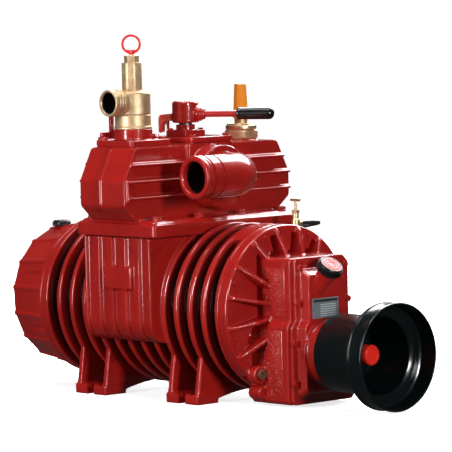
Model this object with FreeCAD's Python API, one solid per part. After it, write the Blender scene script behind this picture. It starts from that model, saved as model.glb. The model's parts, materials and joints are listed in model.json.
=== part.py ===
import FreeCAD, Part
import math
import os

# Rotary vane vacuum pump with a step-up gearbox, for a slurry tanker.
# +X is the shaft axis towards the drive end, +Y the far side, +Z up.
# The origin is the centre of the foot pattern, on the plane the feet stand on.
# All sizes are millimetres, and angles are degrees.

Vec = FreeCAD.Vector
X = Vec(1, 0, 0)
Y = Vec(0, 1, 0)
Z = Vec(0, 0, 1)

# Clearances
running_gap = 0.05          # shaft in a bearing or a bush
free_gap = 0.4              # between pieces that move past each other
seat_gap = 0.2              # between a screw and its hole, or a spigot and its seat
end_gap = 0.4               # rotor to each end wall
gasket_thickness = 2.0

# Casing barrel and its fins
axis_height = 193.0
bore_radius = 135.0
barrel_radius = 153.0
fin_radius = 173.0
fin_pitch = 41.0
fin_root = 13.0
fin_tip = 8.0
fin_count = 12
casing_length = 546.0
casing_rim = 11.0

# Casing block that carries the manifold
block_length = 205.0
block_half_width = 188.0
block_top = 342.0
block_shoulder_height = 168.0
block_shoulder_radius = 45.0
block_rib_height = 7.0
block_rib_width = 15.0
pad_length = 88.0
pad_low = 234.0
pad_high = 281.0
pad_height = 1.5
port_length = 165.0
port_inner = 116.0
port_outer = 172.0
port_floor = 190.0

# Feet
foot_outer = 160.0
foot_inner = 100.0
foot_height = 20.0
web_start = 40.0            # from the middle to the inner end of each web
gusset_foot_y = 156.0
gusset_top_y = 142.0
gusset_top = 105.0
arch_side = 8.0
arch_middle = 21.0
slot_width = 22.0
slot_end = 128.0

# Gears: a wheel on the input shaft turns the pinion on the rotor
gear_module = 4.0
wheel_teeth = 35
pinion_teeth = 17
wheel_width = 34.0
pinion_width = 40.0
gear_start = 26.0           # from the gear case back wall to the pinion
tooth_play = 0.6            # play between flanks, on the pitch circle

# Rotor and vanes
rotor_radius = 112.0
vane_count = 7
vane_thickness = 8.0
vane_depth = 62.0
vane_offset = 26.0
vane_recess = 1.0
shaft_radius = 20.0

# Bearings and seals
bearing_width = 20.0
rotor_bearing_radius = 45.0
input_bearing_radius = 40.0
race_step = 6.0
race_depth = 1.5
seal_radius = 31.0
seal_width = 8.0

# Front housing: end wall, ribs and gear case in one casting
front_rim = 22.0
front_wall = 32.0
cone_outer = 167.0
cone_inner = 122.0
cone_rise = 16.0
moat_radius = 108.0
moat_floor = 3.0
rib_count = 16
rib_thickness = 8.0
rib_rise = 32.0
rib_phase = 14.0
case_half_width = 75.0
case_low_half_width = 85.0
case_top = 304.0
case_bottom = 6.0
case_step = 176.0
case_length = 88.5
case_wall = 8.0
case_chamfer = 14.0
lug_radius = 14.0
lug_y = -90.0
lug_z = 29.0
drain_boss_radius = 19.0
drain_y = -97.0
drain_z = 66.0
drain_boss_length = 22.0

# Gear case cover
cover_screw_top = 22.0
cover_screw_step = 24.0
cover_screw_low = 44.0
cover_thickness = 32.0
cover_flange = 9.0
cover_flange_width = 18.0
cover_half_width = 50.0
cover_low_half_width = 61.0
cover_top_margin = 26.0
neck_radius = 65.0
neck_length = 40.0
neck_groove_depth = 3.0
neck_groove_width = 5.0
neck_groove_start = 31.0
filler_y = -17.0
filler_height = 262.0
filler_tilt = 45.0
filler_root_radius = 27.0
filler_top_radius = 17.0
filler_reach = 23.0
plate_width = 74.0
plate_height = 41.0
plate_thickness = 1.2
plate_centre_y = -7.0
plate_centre_z = 201.5

# Input shaft, its red cap and the guard
stub_radius = 17.45
stub_length = 81.0
spline_count = 6
spline_width = 8.6
spline_depth = 2.2
cap_radius = 21.0
cap_length = 44.0
cap_end_wall = 5.0
guard_radius = 80.0
guard_rim_radius = 109.6
guard_wall = 3.0
guard_barrel_length = 131.0
guard_flare = 6.0
guard_rim_length = 30.0
guard_bead = 8.0
guard_bead_height = 2.6

# Rear end: bearing plate and oil tank
rear_plate = 14.0
rear_hub_radius = 62.0
rear_hub_length = 14.0
tank_length = 118.0
tank_root_radius = 166.0
tank_back_radius = 151.0
tank_wall = 7.0
tank_rib_height = 2.0
tank_rib_thickness = 8.0
tank_filler_x = -376.0
tank_filler_y = -20.0
tank_filler_radius = 17.0
tank_filler_top = 337.0
tank_spot = 3.0
sight_y = -60.0
sight_z = 150.0
sight_radius = 17.0
pump_radius = 32.0
pump_length = 26.0
pump_wall = 5.0
pump_gear_width = 18.0

# Filler caps
filler_cap_radius = 25.0
filler_cap_height = 20.0
tank_cap_radius = 20.5
tank_cap_height = 19.0
cap_plug_radius = 11.0
cap_plug_length = 14.0
cap_flutes = 12
flute_radius = 2.2

# Manifold
flange_length = 244.0
flange_half_width = 197.0
flange_thickness = 32.0
flange_ledge = 7.0
flange_corner = 10.0
body_front = 67.0
body_rear = -72.0
body_wall = 10.0
body_foot_y = 196.0
body_belly_y = 235.0
body_belly_drop = 62.0
body_belly_rise = 7.0
body_neck_y = 202.0
body_edge_radius = 14.0
face_rib_height = 9.0
face_rib_thickness = 7.0
face_rib_drop = 42.0
face_rib_pitch = 34.0
face_rib_count = 3
saddle_front = 76.0
saddle_rear = -60.0
saddle_left = -52.0
saddle_right = 65.0
saddle_rise = 16.0
saddle_cover = 17.0
valve_cover = 12.0
valve_screw_edge = 11.0
branch_lift = 91.0
branch_radius = 66.0
branch_drop = 7.0           # from the pipe axis down to the centre of boss and flange
branch_end = 112.0
branch_bore = 36.0
chest_side = 60.0

# Elbows
pipe_radius = 45.0
pipe_bore = 33.5
elbow_flange = 6.0
elbow_bend = 55.0
elbow_lead = 17.0
elbow_tail = 94.0
hose_groove_depth = 2.2
first_groove = 19.0
second_groove = 45.0
groove_width = 5.0

# Changeover valve
plug_radius = 46.0
plug_disc = 11.0
plug_web = 12.0
plug_drop = 71.0
plug_top_gap = 21.0
stem_radius = 14.0
gland_width = 62.0
gland_flange = 13.0
gland_neck_radius = 20.0
gland_neck = 11.0
hub_radius = 27.5
hub_height = 46.0
hub_lift = 4.0
lever_angle = 29.0
lever_boss_radius = 15.0
lever_boss_reach = 44.0
lever_height = 18.0
lever_radius = 7.0
lever_length = 196.0
grip_radius = 13.0
grip_length = 80.0
grip_hole = 30.0
pointer_reach = 58.0
pointer_width = 16.0
pointer_thickness = 10.0
pointer_drop = 21.0

# Relief valve
relief_x = -3.0
relief_y = -145.0
relief_plate_x = 115.0
relief_plate_y = 113.0
relief_plate_thickness = 12.0
relief_pad = 3.0
collar_radius = 40.0
collar_height = 22.0
relief_throat = 20.0
relief_lug_thickness = 6.0
relief_lug_height = 50.0
relief_lug_inset = 8.0
relief_lug_step = 6.5
relief_lug_toe = 16.0
relief_lug_near = 7.0
relief_lug_far = 17.0
relief_radius = 37.5
relief_height = 80.0
relief_wall = 4.5
relief_seat = 12.0
relief_waist = 30.0
relief_ridge = 1.6
outlet_radius = 26.5
outlet_bore = 22.5
outlet_height = 56.0
outlet_reach = 68.0
outlet_depth = 44.0
bonnet_radius = 21.0
bonnet_height = 58.0
bonnet_bore = 15.0
adjuster_flats = 27.0
adjuster_height = 15.0
adjuster_screw = 10.0
spindle_radius = 4.0
disc_radius = 25.0
disc_thickness = 6.0
relief_spring_radius = 13.0
spring_wire = 3.0
pull_ring_lift = 3.0
pull_ring_radius = 20.5
pull_ring_hole = 15.6
pull_ring_thickness = 5.0
pull_ring_turn = 47.0
pull_ring_floor = 9.0

# Vacuum regulating valve
vacuum_x = 6.0
vacuum_y = 155.0
vacuum_boss_radius = 36.0
vacuum_boss = 3.0
vacuum_flats = 64.0
vacuum_hex_height = 19.5
vacuum_nut_radius = 33.0
vacuum_nut_height = 14.0
vacuum_spigot_radius = 20.0
vacuum_spigot_length = 18.0
vacuum_neck_radius = 14.0
vacuum_neck_height = 24.0
vacuum_chamber = 13.0
vacuum_seat_hole = 9.0
vacuum_seat_wall = 3.0
poppet_radius = 12.5
poppet_thickness = 5.0
poppet_stem = 3.0
poppet_collar = 9.0
poppet_collar_height = 4.0
poppet_collar_top = 2.0
vacuum_spring_radius = 8.5
knob_base_radius = 17.0
knob_skirt = 14.0
knob_low_radius = 15.5
knob_top_radius = 12.5
knob_height = 73.0
knob_lift = 11.0

# Needle cock, nipple and hose on the casing top
cock_x = 206.0
cock_y = 118.0
cock_seat = 318.0
cock_boss_radius = 11.0
cock_flats = 19.0
cock_hex_height = 12.0
cock_body_radius = 8.5
cock_body_height = 68.0
cock_outlet_height = 40.0
barb_radius = 4.5
barb_reach = 17.0
tee_stem_radius = 3.0
tee_stem_height = 24.0
tee_bar_radius = 3.0
tee_bar_length = 27.0
nipple_seat = 325.0
nipple_outlet_height = 10.0
nipple_radius = 6.5
hose_radius = 4.5

# Screws: shank radius, width across flats and head height
m8_radius = 4.0
m8_flats = 13.0
m8_head = 5.5
m6_radius = 3.0
m6_flats = 10.0
m6_head = 4.0
m10_radius = 5.0
m10_flats = 17.0
m10_head = 7.0
m12_radius = 6.0
m12_flats = 19.0
m12_head = 8.0
rim_screw_length = 16.0
rim_screw_circle = 161.0
spot_radius = 11.5
manifold_screw_length = 26.0
screw_edge = 14.0
case_screw_length = 14.0
relief_screw_length = 18.0
gland_screw_length = 10.0
gland_screw_edge = 8.5
elbow_screw_length = 16.0
elbow_screw_circle = 58.0
plug_screw_radius = 10.0
plug_collar = 1.5

# Places worked out from the sizes above
casing_half = casing_length / 2
block_half = block_length / 2
rotor_axis = axis_height + bore_radius - rotor_radius - free_gap
gear_distance = gear_module * (wheel_teeth + pinion_teeth) / 2
input_axis = rotor_axis - gear_distance
front_face = casing_half + front_rim
case_back = casing_half + front_wall
case_front = front_face + case_length
cover_face = case_front + cover_thickness
neck_end = cover_face + neck_length
guard_back = cover_face + neck_groove_start
gear_x = case_back + gear_start
stub_end = neck_end + stub_length
rear_face = -casing_half - rear_plate
tank_back = rear_face - tank_length
flange_low = block_top + gasket_thickness
flange_top = flange_low + flange_thickness
rotor_rear_end = rear_face - rear_hub_length - pump_length + pump_wall + free_gap
branch_height = flange_top + branch_lift
boss_height = branch_height - branch_drop
saddle_top = boss_height + branch_radius + saddle_cover
body_crown = saddle_top - saddle_rise
body_belly_low = branch_height - body_belly_drop
body_belly_high = branch_height - body_belly_rise
face_rib_low = branch_height - face_rib_drop
plug_low = branch_height - plug_drop
plug_high = saddle_top - plug_top_gap
gland_top = saddle_top + gland_flange + gland_neck
hub_low = gland_top + hub_lift
relief_low = body_crown + relief_pad
relief_seat_top = relief_low + relief_plate_thickness + collar_height
relief_top = relief_seat_top + relief_height
bonnet_top = relief_top + bonnet_height
adjuster_top = bonnet_top + adjuster_height
vacuum_low = body_crown + vacuum_boss
vacuum_hex_top = vacuum_low + vacuum_hex_height
vacuum_nut_top = vacuum_hex_top + vacuum_nut_height
vacuum_neck_top = vacuum_nut_top + vacuum_neck_height
nipple_x = 3.5 * fin_pitch
half_step = 180 / rib_count
rear_flange_face = rear_face - casing_rim


def box(x0, x1, y0, y1, z0, z1):
    """Block between two corners."""
    return Part.makeBox(x1 - x0, y1 - y0, z1 - z0, Vec(x0, y0, z0))


def rod(radius, start, end):
    """Round bar from one point to another."""
    way = end.sub(start)
    return Part.makeCylinder(radius, way.Length, start, way)


def taper(start_radius, end_radius, start, end):
    """Round bar that narrows from one point to another."""
    way = end.sub(start)
    return Part.makeCone(start_radius, end_radius, way.Length, start, way)


def tube(outer, inner, start, end):
    """Round tube from one point to another."""
    return rod(outer, start, end).cut(rod(inner, start, end))


def polygon_points(count, radius, phase):
    """Corners of a regular polygon, as pairs, with one corner at the phase angle."""
    step = 2 * math.pi / count
    turn = math.radians(phase)
    return [(radius * math.cos(turn + step * k), radius * math.sin(turn + step * k))
            for k in range(count)]


def closed(points):
    """Closed wire through the points."""
    return Part.makePolygon(points + points[:1])


def hexagon(flats, start, end):
    """Hexagonal bar from one point to another."""
    way = end.sub(start)
    corner = flats / 2 / math.cos(math.pi / 6)
    wire = closed([Vec(a, b, 0) for a, b in polygon_points(6, corner, 0)])
    bar = Part.Face(wire).extrude(Z * way.Length)
    bar.Placement = FreeCAD.Placement(start, FreeCAD.Rotation(Z, way))
    return bar


def lathe_x(profile, height, y=0.0):
    """Turned shape about a line along X, from points of place and radius."""
    wire = closed([Vec(x, y, height + r) for x, r in profile])
    return Part.Face(wire).revolve(Vec(0, y, height), X, 360)


def lathe_z(profile, x, y):
    """Turned shape about a vertical line, from points of radius and height."""
    wire = closed([Vec(x + r, y, z) for r, z in profile])
    return Part.Face(wire).revolve(Vec(x, y, 0), Z, 360)


def slab_x(outline, x0, x1):
    """Plate across X, from points of Y and Z."""
    return Part.Face(closed([Vec(x0, y, z) for y, z in outline])).extrude(X * (x1 - x0))


def turned_x(shape, angle, height):
    """Copy of a shape turned about the line along X at a height."""
    copy = shape.copy()
    copy.rotate(Vec(0, 0, height), X, angle)
    return copy


def turned_z(shape, angle, x=0.0, y=0.0):
    """Copy of a shape turned about a vertical line."""
    copy = shape.copy()
    copy.rotate(Vec(x, y, 0), Z, angle)
    return copy


def fused(shapes):
    """One solid from pieces that touch or overlap."""
    return shapes[0].multiFuse(shapes[1:]).removeSplitter()


def screw(seat, out, radius, flats, head, length):
    """Hexagon screw: its head stands out from the seat, its shank goes in."""
    return hexagon(flats, seat, seat + out * head).fuse(rod(radius, seat - out * length, seat))


def screw_hole(seat, out, radius, length):
    """Hole for a screw, a little wider and deeper than its shank."""
    return rod(radius + seat_gap, seat - out * (length + 1), seat + out)


def screws(seats, out, size, length):
    """Group of equal screws and the cutter for their holes."""
    radius, flats, head = size
    group = Part.Compound([screw(s, out, radius, flats, head, length) for s in seats])
    holes = Part.Compound([screw_hole(s, out, radius, length) for s in seats])
    return group, holes


m6 = (m6_radius, m6_flats, m6_head)
m8 = (m8_radius, m8_flats, m8_head)
m10 = (m10_radius, m10_flats, m10_head)
m12 = (m12_radius, m12_flats, m12_head)
parts = {}

# Casing

fin_places = [(k - (fin_count - 1) / 2) * fin_pitch for k in range(fin_count)]
foot_places = (-4.5 * fin_pitch, -2.5 * fin_pitch, 2.5 * fin_pitch, 4.5 * fin_pitch)


def finned_barrel():
    """Barrel, its fins and its end rims, turned from one profile."""
    profile = [(-casing_half, 0), (-casing_half, fin_radius),
               (-casing_half + casing_rim, fin_radius),
               (-casing_half + casing_rim, barrel_radius)]
    for x in fin_places:
        profile += [(x - fin_root / 2, barrel_radius), (x - fin_tip / 2, fin_radius),
                    (x + fin_tip / 2, fin_radius), (x + fin_root / 2, barrel_radius)]
    profile += [(casing_half - casing_rim, barrel_radius),
                (casing_half - casing_rim, fin_radius),
                (casing_half, fin_radius), (casing_half, 0)]
    return lathe_x(profile, axis_height)


def block_slice(half_width, x0, x1):
    """Slice of the block: straight sides that curve in above the fins."""
    low = block_shoulder_height
    radius = block_shoulder_radius
    foot = low - radius
    lean = radius * math.sqrt(0.5)
    edges = []
    corners = []
    for side in (1, -1):
        wall = side * half_width
        centre = side * (half_width - radius)
        corners.append((Vec(x0, wall, block_top), Vec(x0, wall, low),
                        Vec(x0, centre + side * lean, low - lean), Vec(x0, centre, foot)))
    for top, shoulder, middle, end in corners:
        edges.append(Part.LineSegment(top, shoulder).toShape())
        edges.append(Part.Arc(shoulder, middle, end).toShape())
    edges.append(Part.LineSegment(corners[0][3], corners[1][3]).toShape())
    edges.append(Part.LineSegment(corners[0][0], corners[1][0]).toShape())
    wire = Part.Wire(Part.__sortEdges__(edges))
    return Part.Face(wire).extrude(X * (x1 - x0))


def gusset(x):
    """Cross web that carries one pair of feet, arched underneath."""
    x0 = x - fin_root / 2
    sides = [Vec(x0, -foot_inner, arch_side), Vec(x0, -gusset_foot_y, arch_side),
             Vec(x0, -gusset_top_y, gusset_top), Vec(x0, gusset_top_y, gusset_top),
             Vec(x0, gusset_foot_y, arch_side), Vec(x0, foot_inner, arch_side)]
    edges = [Part.LineSegment(a, b).toShape() for a, b in zip(sides, sides[1:])]
    edges.append(Part.Arc(sides[-1], Vec(x0, 0, arch_middle), sides[0]).toShape())
    return Part.Face(Part.Wire(edges)).extrude(X * fin_root)


def foot(side, end):
    """Foot pad with its open slot, on one side and at one end."""
    x_near, x_far = sorted((end * (foot_places[2] - fin_root / 2 - 1),
                            end * (foot_places[3] + fin_root / 2 + 1)))
    y_near, y_far = sorted((side * foot_inner, side * foot_outer))
    pad = box(x_near, x_far, y_near, y_far, 0, foot_height)
    centre = end * (foot_places[2] + foot_places[3]) / 2
    hole_y = side * (slot_end + slot_width / 2)
    cutter = rod(slot_width / 2, Vec(centre, hole_y, -1), Vec(centre, hole_y, foot_height + 1))
    y_near, y_far = sorted((hole_y, side * (foot_outer + 1)))
    cutter = cutter.fuse(box(centre - slot_width / 2, centre + slot_width / 2,
                             y_near, y_far, -1, foot_height + 1))
    return pad.cut(cutter)


def foot_webs():
    """Webs from four fins down to the foot pads, open between the feet."""
    reach = foot_places[3] + fin_root
    room = rod(fin_radius, Vec(-reach, 0, axis_height), Vec(reach, 0, axis_height))
    room = room.fuse(box(-reach, reach, -web_start, web_start, 0, axis_height))
    for side in (-1, 1):
        y_near, y_far = sorted((side * foot_inner, side * foot_outer))
        room = room.fuse(box(-reach, reach, y_near, y_far, 0, foot_height))
    return Part.Compound([solid for x in foot_places for solid in gusset(x).cut(room).Solids])


def foot_pads():
    """The four foot pads."""
    return Part.Compound([foot(side, end) for side in (-1, 1) for end in (-1, 1)])


def casing():
    """Finned barrel, manifold block and bosses in one casting."""
    pieces = [finned_barrel(), block_slice(block_half_width, -block_half, block_half)]
    for x in fin_places:
        if abs(x) <= block_half:
            pieces.append(block_slice(block_half_width + block_rib_height,
                                      max(x - block_rib_width / 2, -block_half),
                                      min(x + block_rib_width / 2, block_half)))
    pad_face = block_half_width + block_rib_height + pad_height
    pieces.append(box(-pad_length / 2, pad_length / 2, -pad_face, -block_half_width + 1,
                      pad_low, pad_high))
    boss_root = axis_height + bore_radius * 0.7
    pieces.append(rod(cock_boss_radius, Vec(cock_x, cock_y, boss_root),
                      Vec(cock_x, cock_y, cock_seat)))
    pieces.append(rod(cock_boss_radius, Vec(nipple_x, cock_y, boss_root),
                      Vec(nipple_x, cock_y, nipple_seat)))
    shape = fused(pieces)
    shape = shape.cut(rod(bore_radius, Vec(-casing_half - 1, 0, axis_height),
                          Vec(casing_half + 1, 0, axis_height)))
    reach = flange_length / 2 + end_gap
    shape = shape.cut(box(-reach, reach, -foot_outer, foot_outer, block_top,
                          axis_height + fin_radius + 1))
    shape = shape.cut(rod(cock_boss_radius + 1, Vec(nipple_x, cock_y, nipple_seat),
                          Vec(nipple_x, cock_y, axis_height + fin_radius)))
    for side in (-1, 1):
        y_near, y_far = sorted((side * port_inner, side * port_outer))
        shape = shape.cut(box(-port_length / 2, port_length / 2, y_near, y_far,
                              port_floor, block_top + 1))
    return shape


# Rotor, vanes and the two gears

rotor_half = casing_half - end_gap


def rotor():
    """Rotor drum with its vane slots and its two shaft stubs."""
    front = gear_x + pinion_width + free_gap
    drum = rod(rotor_radius, Vec(-rotor_half, 0, rotor_axis), Vec(rotor_half, 0, rotor_axis))
    slot_floor = rotor_radius - vane_depth - vane_recess - seat_gap
    slot = box(-rotor_half - 1, rotor_half + 1,
               vane_offset - vane_thickness / 2 - seat_gap,
               vane_offset + vane_thickness / 2 + seat_gap,
               rotor_axis + slot_floor, rotor_axis + rotor_radius + 1)
    for k in range(vane_count):
        drum = drum.cut(turned_x(slot, 360 * k / vane_count, rotor_axis))
    shaft = rod(shaft_radius, Vec(rotor_rear_end, 0, rotor_axis),
                Vec(front, 0, rotor_axis))
    return drum.fuse(shaft)


def rotor_vanes():
    """Vanes, drawn back into their slots."""
    reach = math.sqrt(rotor_radius ** 2 - (vane_offset + vane_thickness / 2) ** 2)
    vane = box(-rotor_half, rotor_half,
               vane_offset - vane_thickness / 2, vane_offset + vane_thickness / 2,
               rotor_axis + rotor_radius - vane_depth - vane_recess,
               rotor_axis + reach - vane_recess)
    return Part.Compound([turned_x(vane, 360 * k / vane_count, rotor_axis)
                          for k in range(vane_count)])


def involute(base, radius):
    """Angle of an involute flank at a radius, from where it leaves the base circle."""
    roll = math.sqrt(max((radius / base) ** 2 - 1, 0))
    return roll - math.atan(roll)


def spur_gear(teeth, width, bore, x, height, phase):
    """Involute spur gear, with one tooth centred at the phase angle from +Z."""
    pitch = gear_module * teeth / 2
    base = pitch * math.cos(math.radians(20))
    root = pitch - 1.25 * gear_module
    tip = pitch + gear_module
    half_tooth = math.pi / 2 / teeth - tooth_play / 2 / pitch
    radii = [max(base, root), (base + pitch) / 2, pitch, (pitch + tip) / 2, tip]
    flank = [(r, half_tooth + involute(base, pitch) - involute(base, r)) for r in radii]
    flank = [(root, flank[0][1])] + [p for p in flank if p[0] > root]
    outline = []
    for k in range(teeth):
        centre = math.radians(phase) + 2 * math.pi * k / teeth
        for radius, half in flank:
            outline.append((radius, centre - half))
        for radius, half in reversed(flank):
            outline.append((radius, centre + half))
    points = [(r * math.sin(a), height + r * math.cos(a)) for r, a in outline]
    blank = slab_x(points, x, x + width)
    return blank.cut(rod(bore, Vec(x - 1, 0, height), Vec(x + width + 1, 0, height)))


def input_shaft():
    """Input shaft with its splined stub."""
    shaft = rod(shaft_radius, Vec(case_back - bearing_width + free_gap, 0, input_axis),
                Vec(neck_end, 0, input_axis))
    stub = rod(stub_radius, Vec(neck_end, 0, input_axis), Vec(stub_end, 0, input_axis))
    groove = box(neck_end + cap_end_wall, stub_end + 1, -spline_width / 2, spline_width / 2,
                 input_axis + stub_radius - spline_depth, input_axis + stub_radius + 1)
    for k in range(spline_count):
        stub = stub.cut(turned_x(groove, 360 * k / spline_count, input_axis))
    return shaft.fuse(stub)


def bearing(outer, inner, x, height):
    """Ball bearing as one ring, stepped where its races stand proud of the shields."""
    profile = [(x, inner), (x, inner + race_step), (x + race_depth, inner + race_step),
               (x + race_depth, outer - race_step), (x, outer - race_step), (x, outer),
               (x + bearing_width, outer), (x + bearing_width, outer - race_step),
               (x + bearing_width - race_depth, outer - race_step),
               (x + bearing_width - race_depth, inner + race_step),
               (x + bearing_width, inner + race_step), (x + bearing_width, inner)]
    return lathe_x(profile, height)


def seal(x, height):
    """Shaft seal ring."""
    return tube(seal_radius, shaft_radius + running_gap, Vec(x, 0, height),
                Vec(x + seal_width, 0, height))


# Front housing

def rim_seats(x, phase):
    """Screw seats on a rim circle, between the ribs."""
    return [Vec(x, a, axis_height + b)
            for a, b in polygon_points(rib_count // 2, rim_screw_circle, phase)]


def case_outline(top_half, low_half, margin):
    """Outline of the gear case seen along X: wide below, chamfered at the top."""
    top = case_top - margin
    bottom = case_bottom + margin
    chamfer = case_chamfer
    slope = low_half - top_half
    return [(-low_half + chamfer / 2, bottom), (low_half - chamfer / 2, bottom),
            (low_half, bottom + chamfer / 2), (low_half, case_step - slope),
            (top_half, case_step), (top_half, top - chamfer),
            (top_half - chamfer, top), (-top_half + chamfer / 3, top),
            (-top_half, top - chamfer / 3), (-top_half, case_step),
            (-low_half, case_step - slope), (-low_half, bottom + chamfer / 2)]


def front_housing():
    """Front end wall with its radial ribs and the gear case, in one casting."""
    rim = rod(fin_radius, Vec(casing_half, 0, axis_height), Vec(front_face, 0, axis_height))
    low_ring = closed([Vec(front_face, a, axis_height + b)
                       for a, b in polygon_points(rib_count, cone_outer, rib_phase)])
    high_ring = closed([Vec(front_face + cone_rise, a, axis_height + b)
                        for a, b in polygon_points(rib_count, cone_inner, rib_phase)])
    cone = Part.makeLoft([low_ring, high_ring], True, True)
    cone = cone.cut(rod(moat_radius, Vec(front_face + moat_floor, 0, axis_height),
                        Vec(front_face + cone_rise + 1, 0, axis_height)))
    pieces = [rim, cone]
    half = rib_thickness / 2
    rib_side = [Vec(front_face - 1, -half, axis_height + cone_outer - 1),
                Vec(front_face + 2, -half, axis_height + cone_outer - 1),
                Vec(front_face + rib_rise, -half, axis_height + case_half_width),
                Vec(front_face + rib_rise, -half, axis_height + case_half_width - case_wall),
                Vec(front_face - 1, -half, axis_height + case_half_width - case_wall)]
    rib = Part.Face(closed(rib_side)).extrude(Y * rib_thickness)
    case = slab_x(case_outline(case_half_width, case_low_half_width, 0),
                  front_face - 1, case_front)
    for k in range(rib_count):
        angle = rib_phase - 90 + 360 * k / rib_count
        pieces.append(turned_x(rib, angle, axis_height))
    pieces.append(case)
    pieces.append(rod(drain_boss_radius, Vec(front_face - 1, drain_y, drain_z),
                      Vec(front_face + drain_boss_length, drain_y, drain_z)))
    pieces.append(rod(lug_radius, Vec(casing_half + casing_rim, lug_y, lug_z),
                      Vec(front_face + drain_boss_length, lug_y, lug_z)))
    shape = fused(pieces)
    cavity = slab_x(case_outline(case_half_width - case_wall, case_low_half_width - case_wall,
                                 case_wall), case_back, case_front + 1)
    shape = shape.cut(cavity)
    shape = shape.cut(rod(rotor_bearing_radius + running_gap,
                          Vec(case_back - bearing_width, 0, rotor_axis),
                          Vec(case_back + 1, 0, rotor_axis)))
    shape = shape.cut(rod(input_bearing_radius + running_gap,
                          Vec(case_back - bearing_width, 0, input_axis),
                          Vec(case_back + 1, 0, input_axis)))
    shape = shape.cut(rod(seal_radius + running_gap, Vec(casing_half - 1, 0, rotor_axis),
                          Vec(casing_half + seal_width, 0, rotor_axis)))
    shape = shape.cut(rod(shaft_radius + free_gap, Vec(casing_half, 0, rotor_axis),
                          Vec(case_back, 0, rotor_axis)))
    for seat in rim_seats(front_face, rib_phase + half_step):
        shape = shape.cut(rod(spot_radius, seat, seat + X * cone_rise))
    drain_seat = front_face + drain_boss_length
    return shape.cut(rod(plug_screw_radius + seat_gap,
                         Vec(drain_seat - cap_plug_length, drain_y, drain_z),
                         Vec(drain_seat + 1, drain_y, drain_z)))


cover_screw_y = cover_half_width + cover_flange_width * 0.6
cover_screw_low_y = cover_low_half_width + cover_flange_width * 0.6
case_seats = [Vec(case_front + cover_flange, side * y, z) for side in (-1, 1)
              for y, z in ((cover_screw_y, case_top - cover_screw_top),
                           (cover_screw_y, case_step + cover_screw_step),
                           (cover_screw_low_y, case_step - cover_screw_low),
                           (cover_screw_low_y, case_bottom + cover_screw_low))]
filler_out = Vec(math.sin(math.radians(filler_tilt)), 0, math.cos(math.radians(filler_tilt)))
filler_root = Vec(cover_face - cover_thickness / 2, filler_y, filler_height - cover_thickness / 2)
filler_seat = filler_root + filler_out * (cover_thickness / 2 * math.sqrt(2) + filler_reach)


def gear_case_cover():
    """Cover of the gear case, with the shaft neck and the tilted filler neck."""
    flange = slab_x(case_outline(cover_half_width + cover_flange_width,
                                 cover_low_half_width + cover_flange_width, 0),
                    case_front, case_front + cover_flange)
    back = closed([Vec(case_front + cover_flange, y, z) for y, z in
                   case_outline(cover_half_width + 3, cover_low_half_width + 3,
                                cover_top_margin / 2)])
    face = closed([Vec(cover_face, y, z) for y, z in
                   case_outline(cover_half_width, cover_low_half_width, cover_top_margin)])
    dome = Part.makeLoft([back, face], True, True)
    groove = neck_groove_start + neck_groove_width
    neck = lathe_x([(case_front + cover_flange, 0), (case_front + cover_flange, neck_radius),
                    (guard_back, neck_radius), (guard_back, neck_radius - neck_groove_depth),
                    (cover_face + groove, neck_radius - neck_groove_depth),
                    (cover_face + groove, neck_radius), (neck_end, neck_radius),
                    (neck_end, 0)], input_axis)
    filler = taper(filler_root_radius, filler_top_radius, filler_root, filler_seat)
    shape = fused([flange, dome, neck, filler])
    back_space = case_front - 1
    shape = shape.cut(rod(input_bearing_radius + running_gap, Vec(back_space, 0, input_axis),
                          Vec(case_front + bearing_width, 0, input_axis)))
    shape = shape.cut(rod(seal_radius + running_gap, Vec(neck_end - seal_width, 0, input_axis),
                          Vec(neck_end + 1, 0, input_axis)))
    shape = shape.cut(rod(shaft_radius + free_gap, Vec(back_space, 0, input_axis),
                          Vec(neck_end, 0, input_axis)))
    return shape.cut(rod(cap_plug_radius + free_gap, filler_seat - filler_out * (
        cap_plug_length + 4), filler_seat + filler_out))


def fluted_cap(radius, height, start, out):
    """Screw cap with a fluted edge, a raised rim and a plug that enters the neck."""
    end = start + out * height
    cap = rod(radius, start, end)
    cap = cap.fuse(rod(cap_plug_radius, start - out * cap_plug_length, start))
    side = Y
    if abs(out.y) > 0.9:
        side = X
    arm = out.cross(side) * (radius + flute_radius * 0.35)
    for k in range(cap_flutes):
        spin = FreeCAD.Rotation(out, 360 * k / cap_flutes)
        foot_point = start + spin.multVec(arm)
        cap = cap.cut(rod(flute_radius, foot_point - out, foot_point + out * (height + 1)))
    return cap


def pto_cap():
    """Red cap pushed over the splined stub."""
    end = stub_end + cap_end_wall
    start = end - cap_length
    inner = stub_radius + free_gap
    profile = [(start, inner), (start, cap_radius), (end - 2, cap_radius),
               (end, cap_radius - 2), (end, 0), (stub_end + free_gap, 0),
               (stub_end + free_gap, inner)]
    return lathe_x(profile, input_axis)


def shaft_guard():
    """Plastic guard round the input shaft: a barrel that opens into a beaded cup."""
    back = guard_back + seat_gap
    shoulder = back + guard_barrel_length
    mouth = shoulder + guard_flare
    end = mouth + guard_rim_length
    lip = neck_radius - neck_groove_depth + seat_gap
    rim = guard_rim_radius
    low = rim - guard_bead_height
    profile = [(back, lip), (back, guard_radius - guard_wall), (back + guard_wall, guard_radius),
               (shoulder, guard_radius), (mouth, low), (mouth, rim), (mouth + guard_bead, rim),
               (mouth + guard_bead, low), (end - guard_bead, low), (end - guard_bead, rim),
               (end, rim), (end, low - guard_wall), (mouth + guard_wall, low - guard_wall),
               (shoulder + guard_wall, guard_radius - guard_wall),
               (back + guard_wall + 1, guard_radius - guard_wall), (back + guard_wall, lip)]
    return lathe_x(profile, input_axis)


# Rear end

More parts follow.
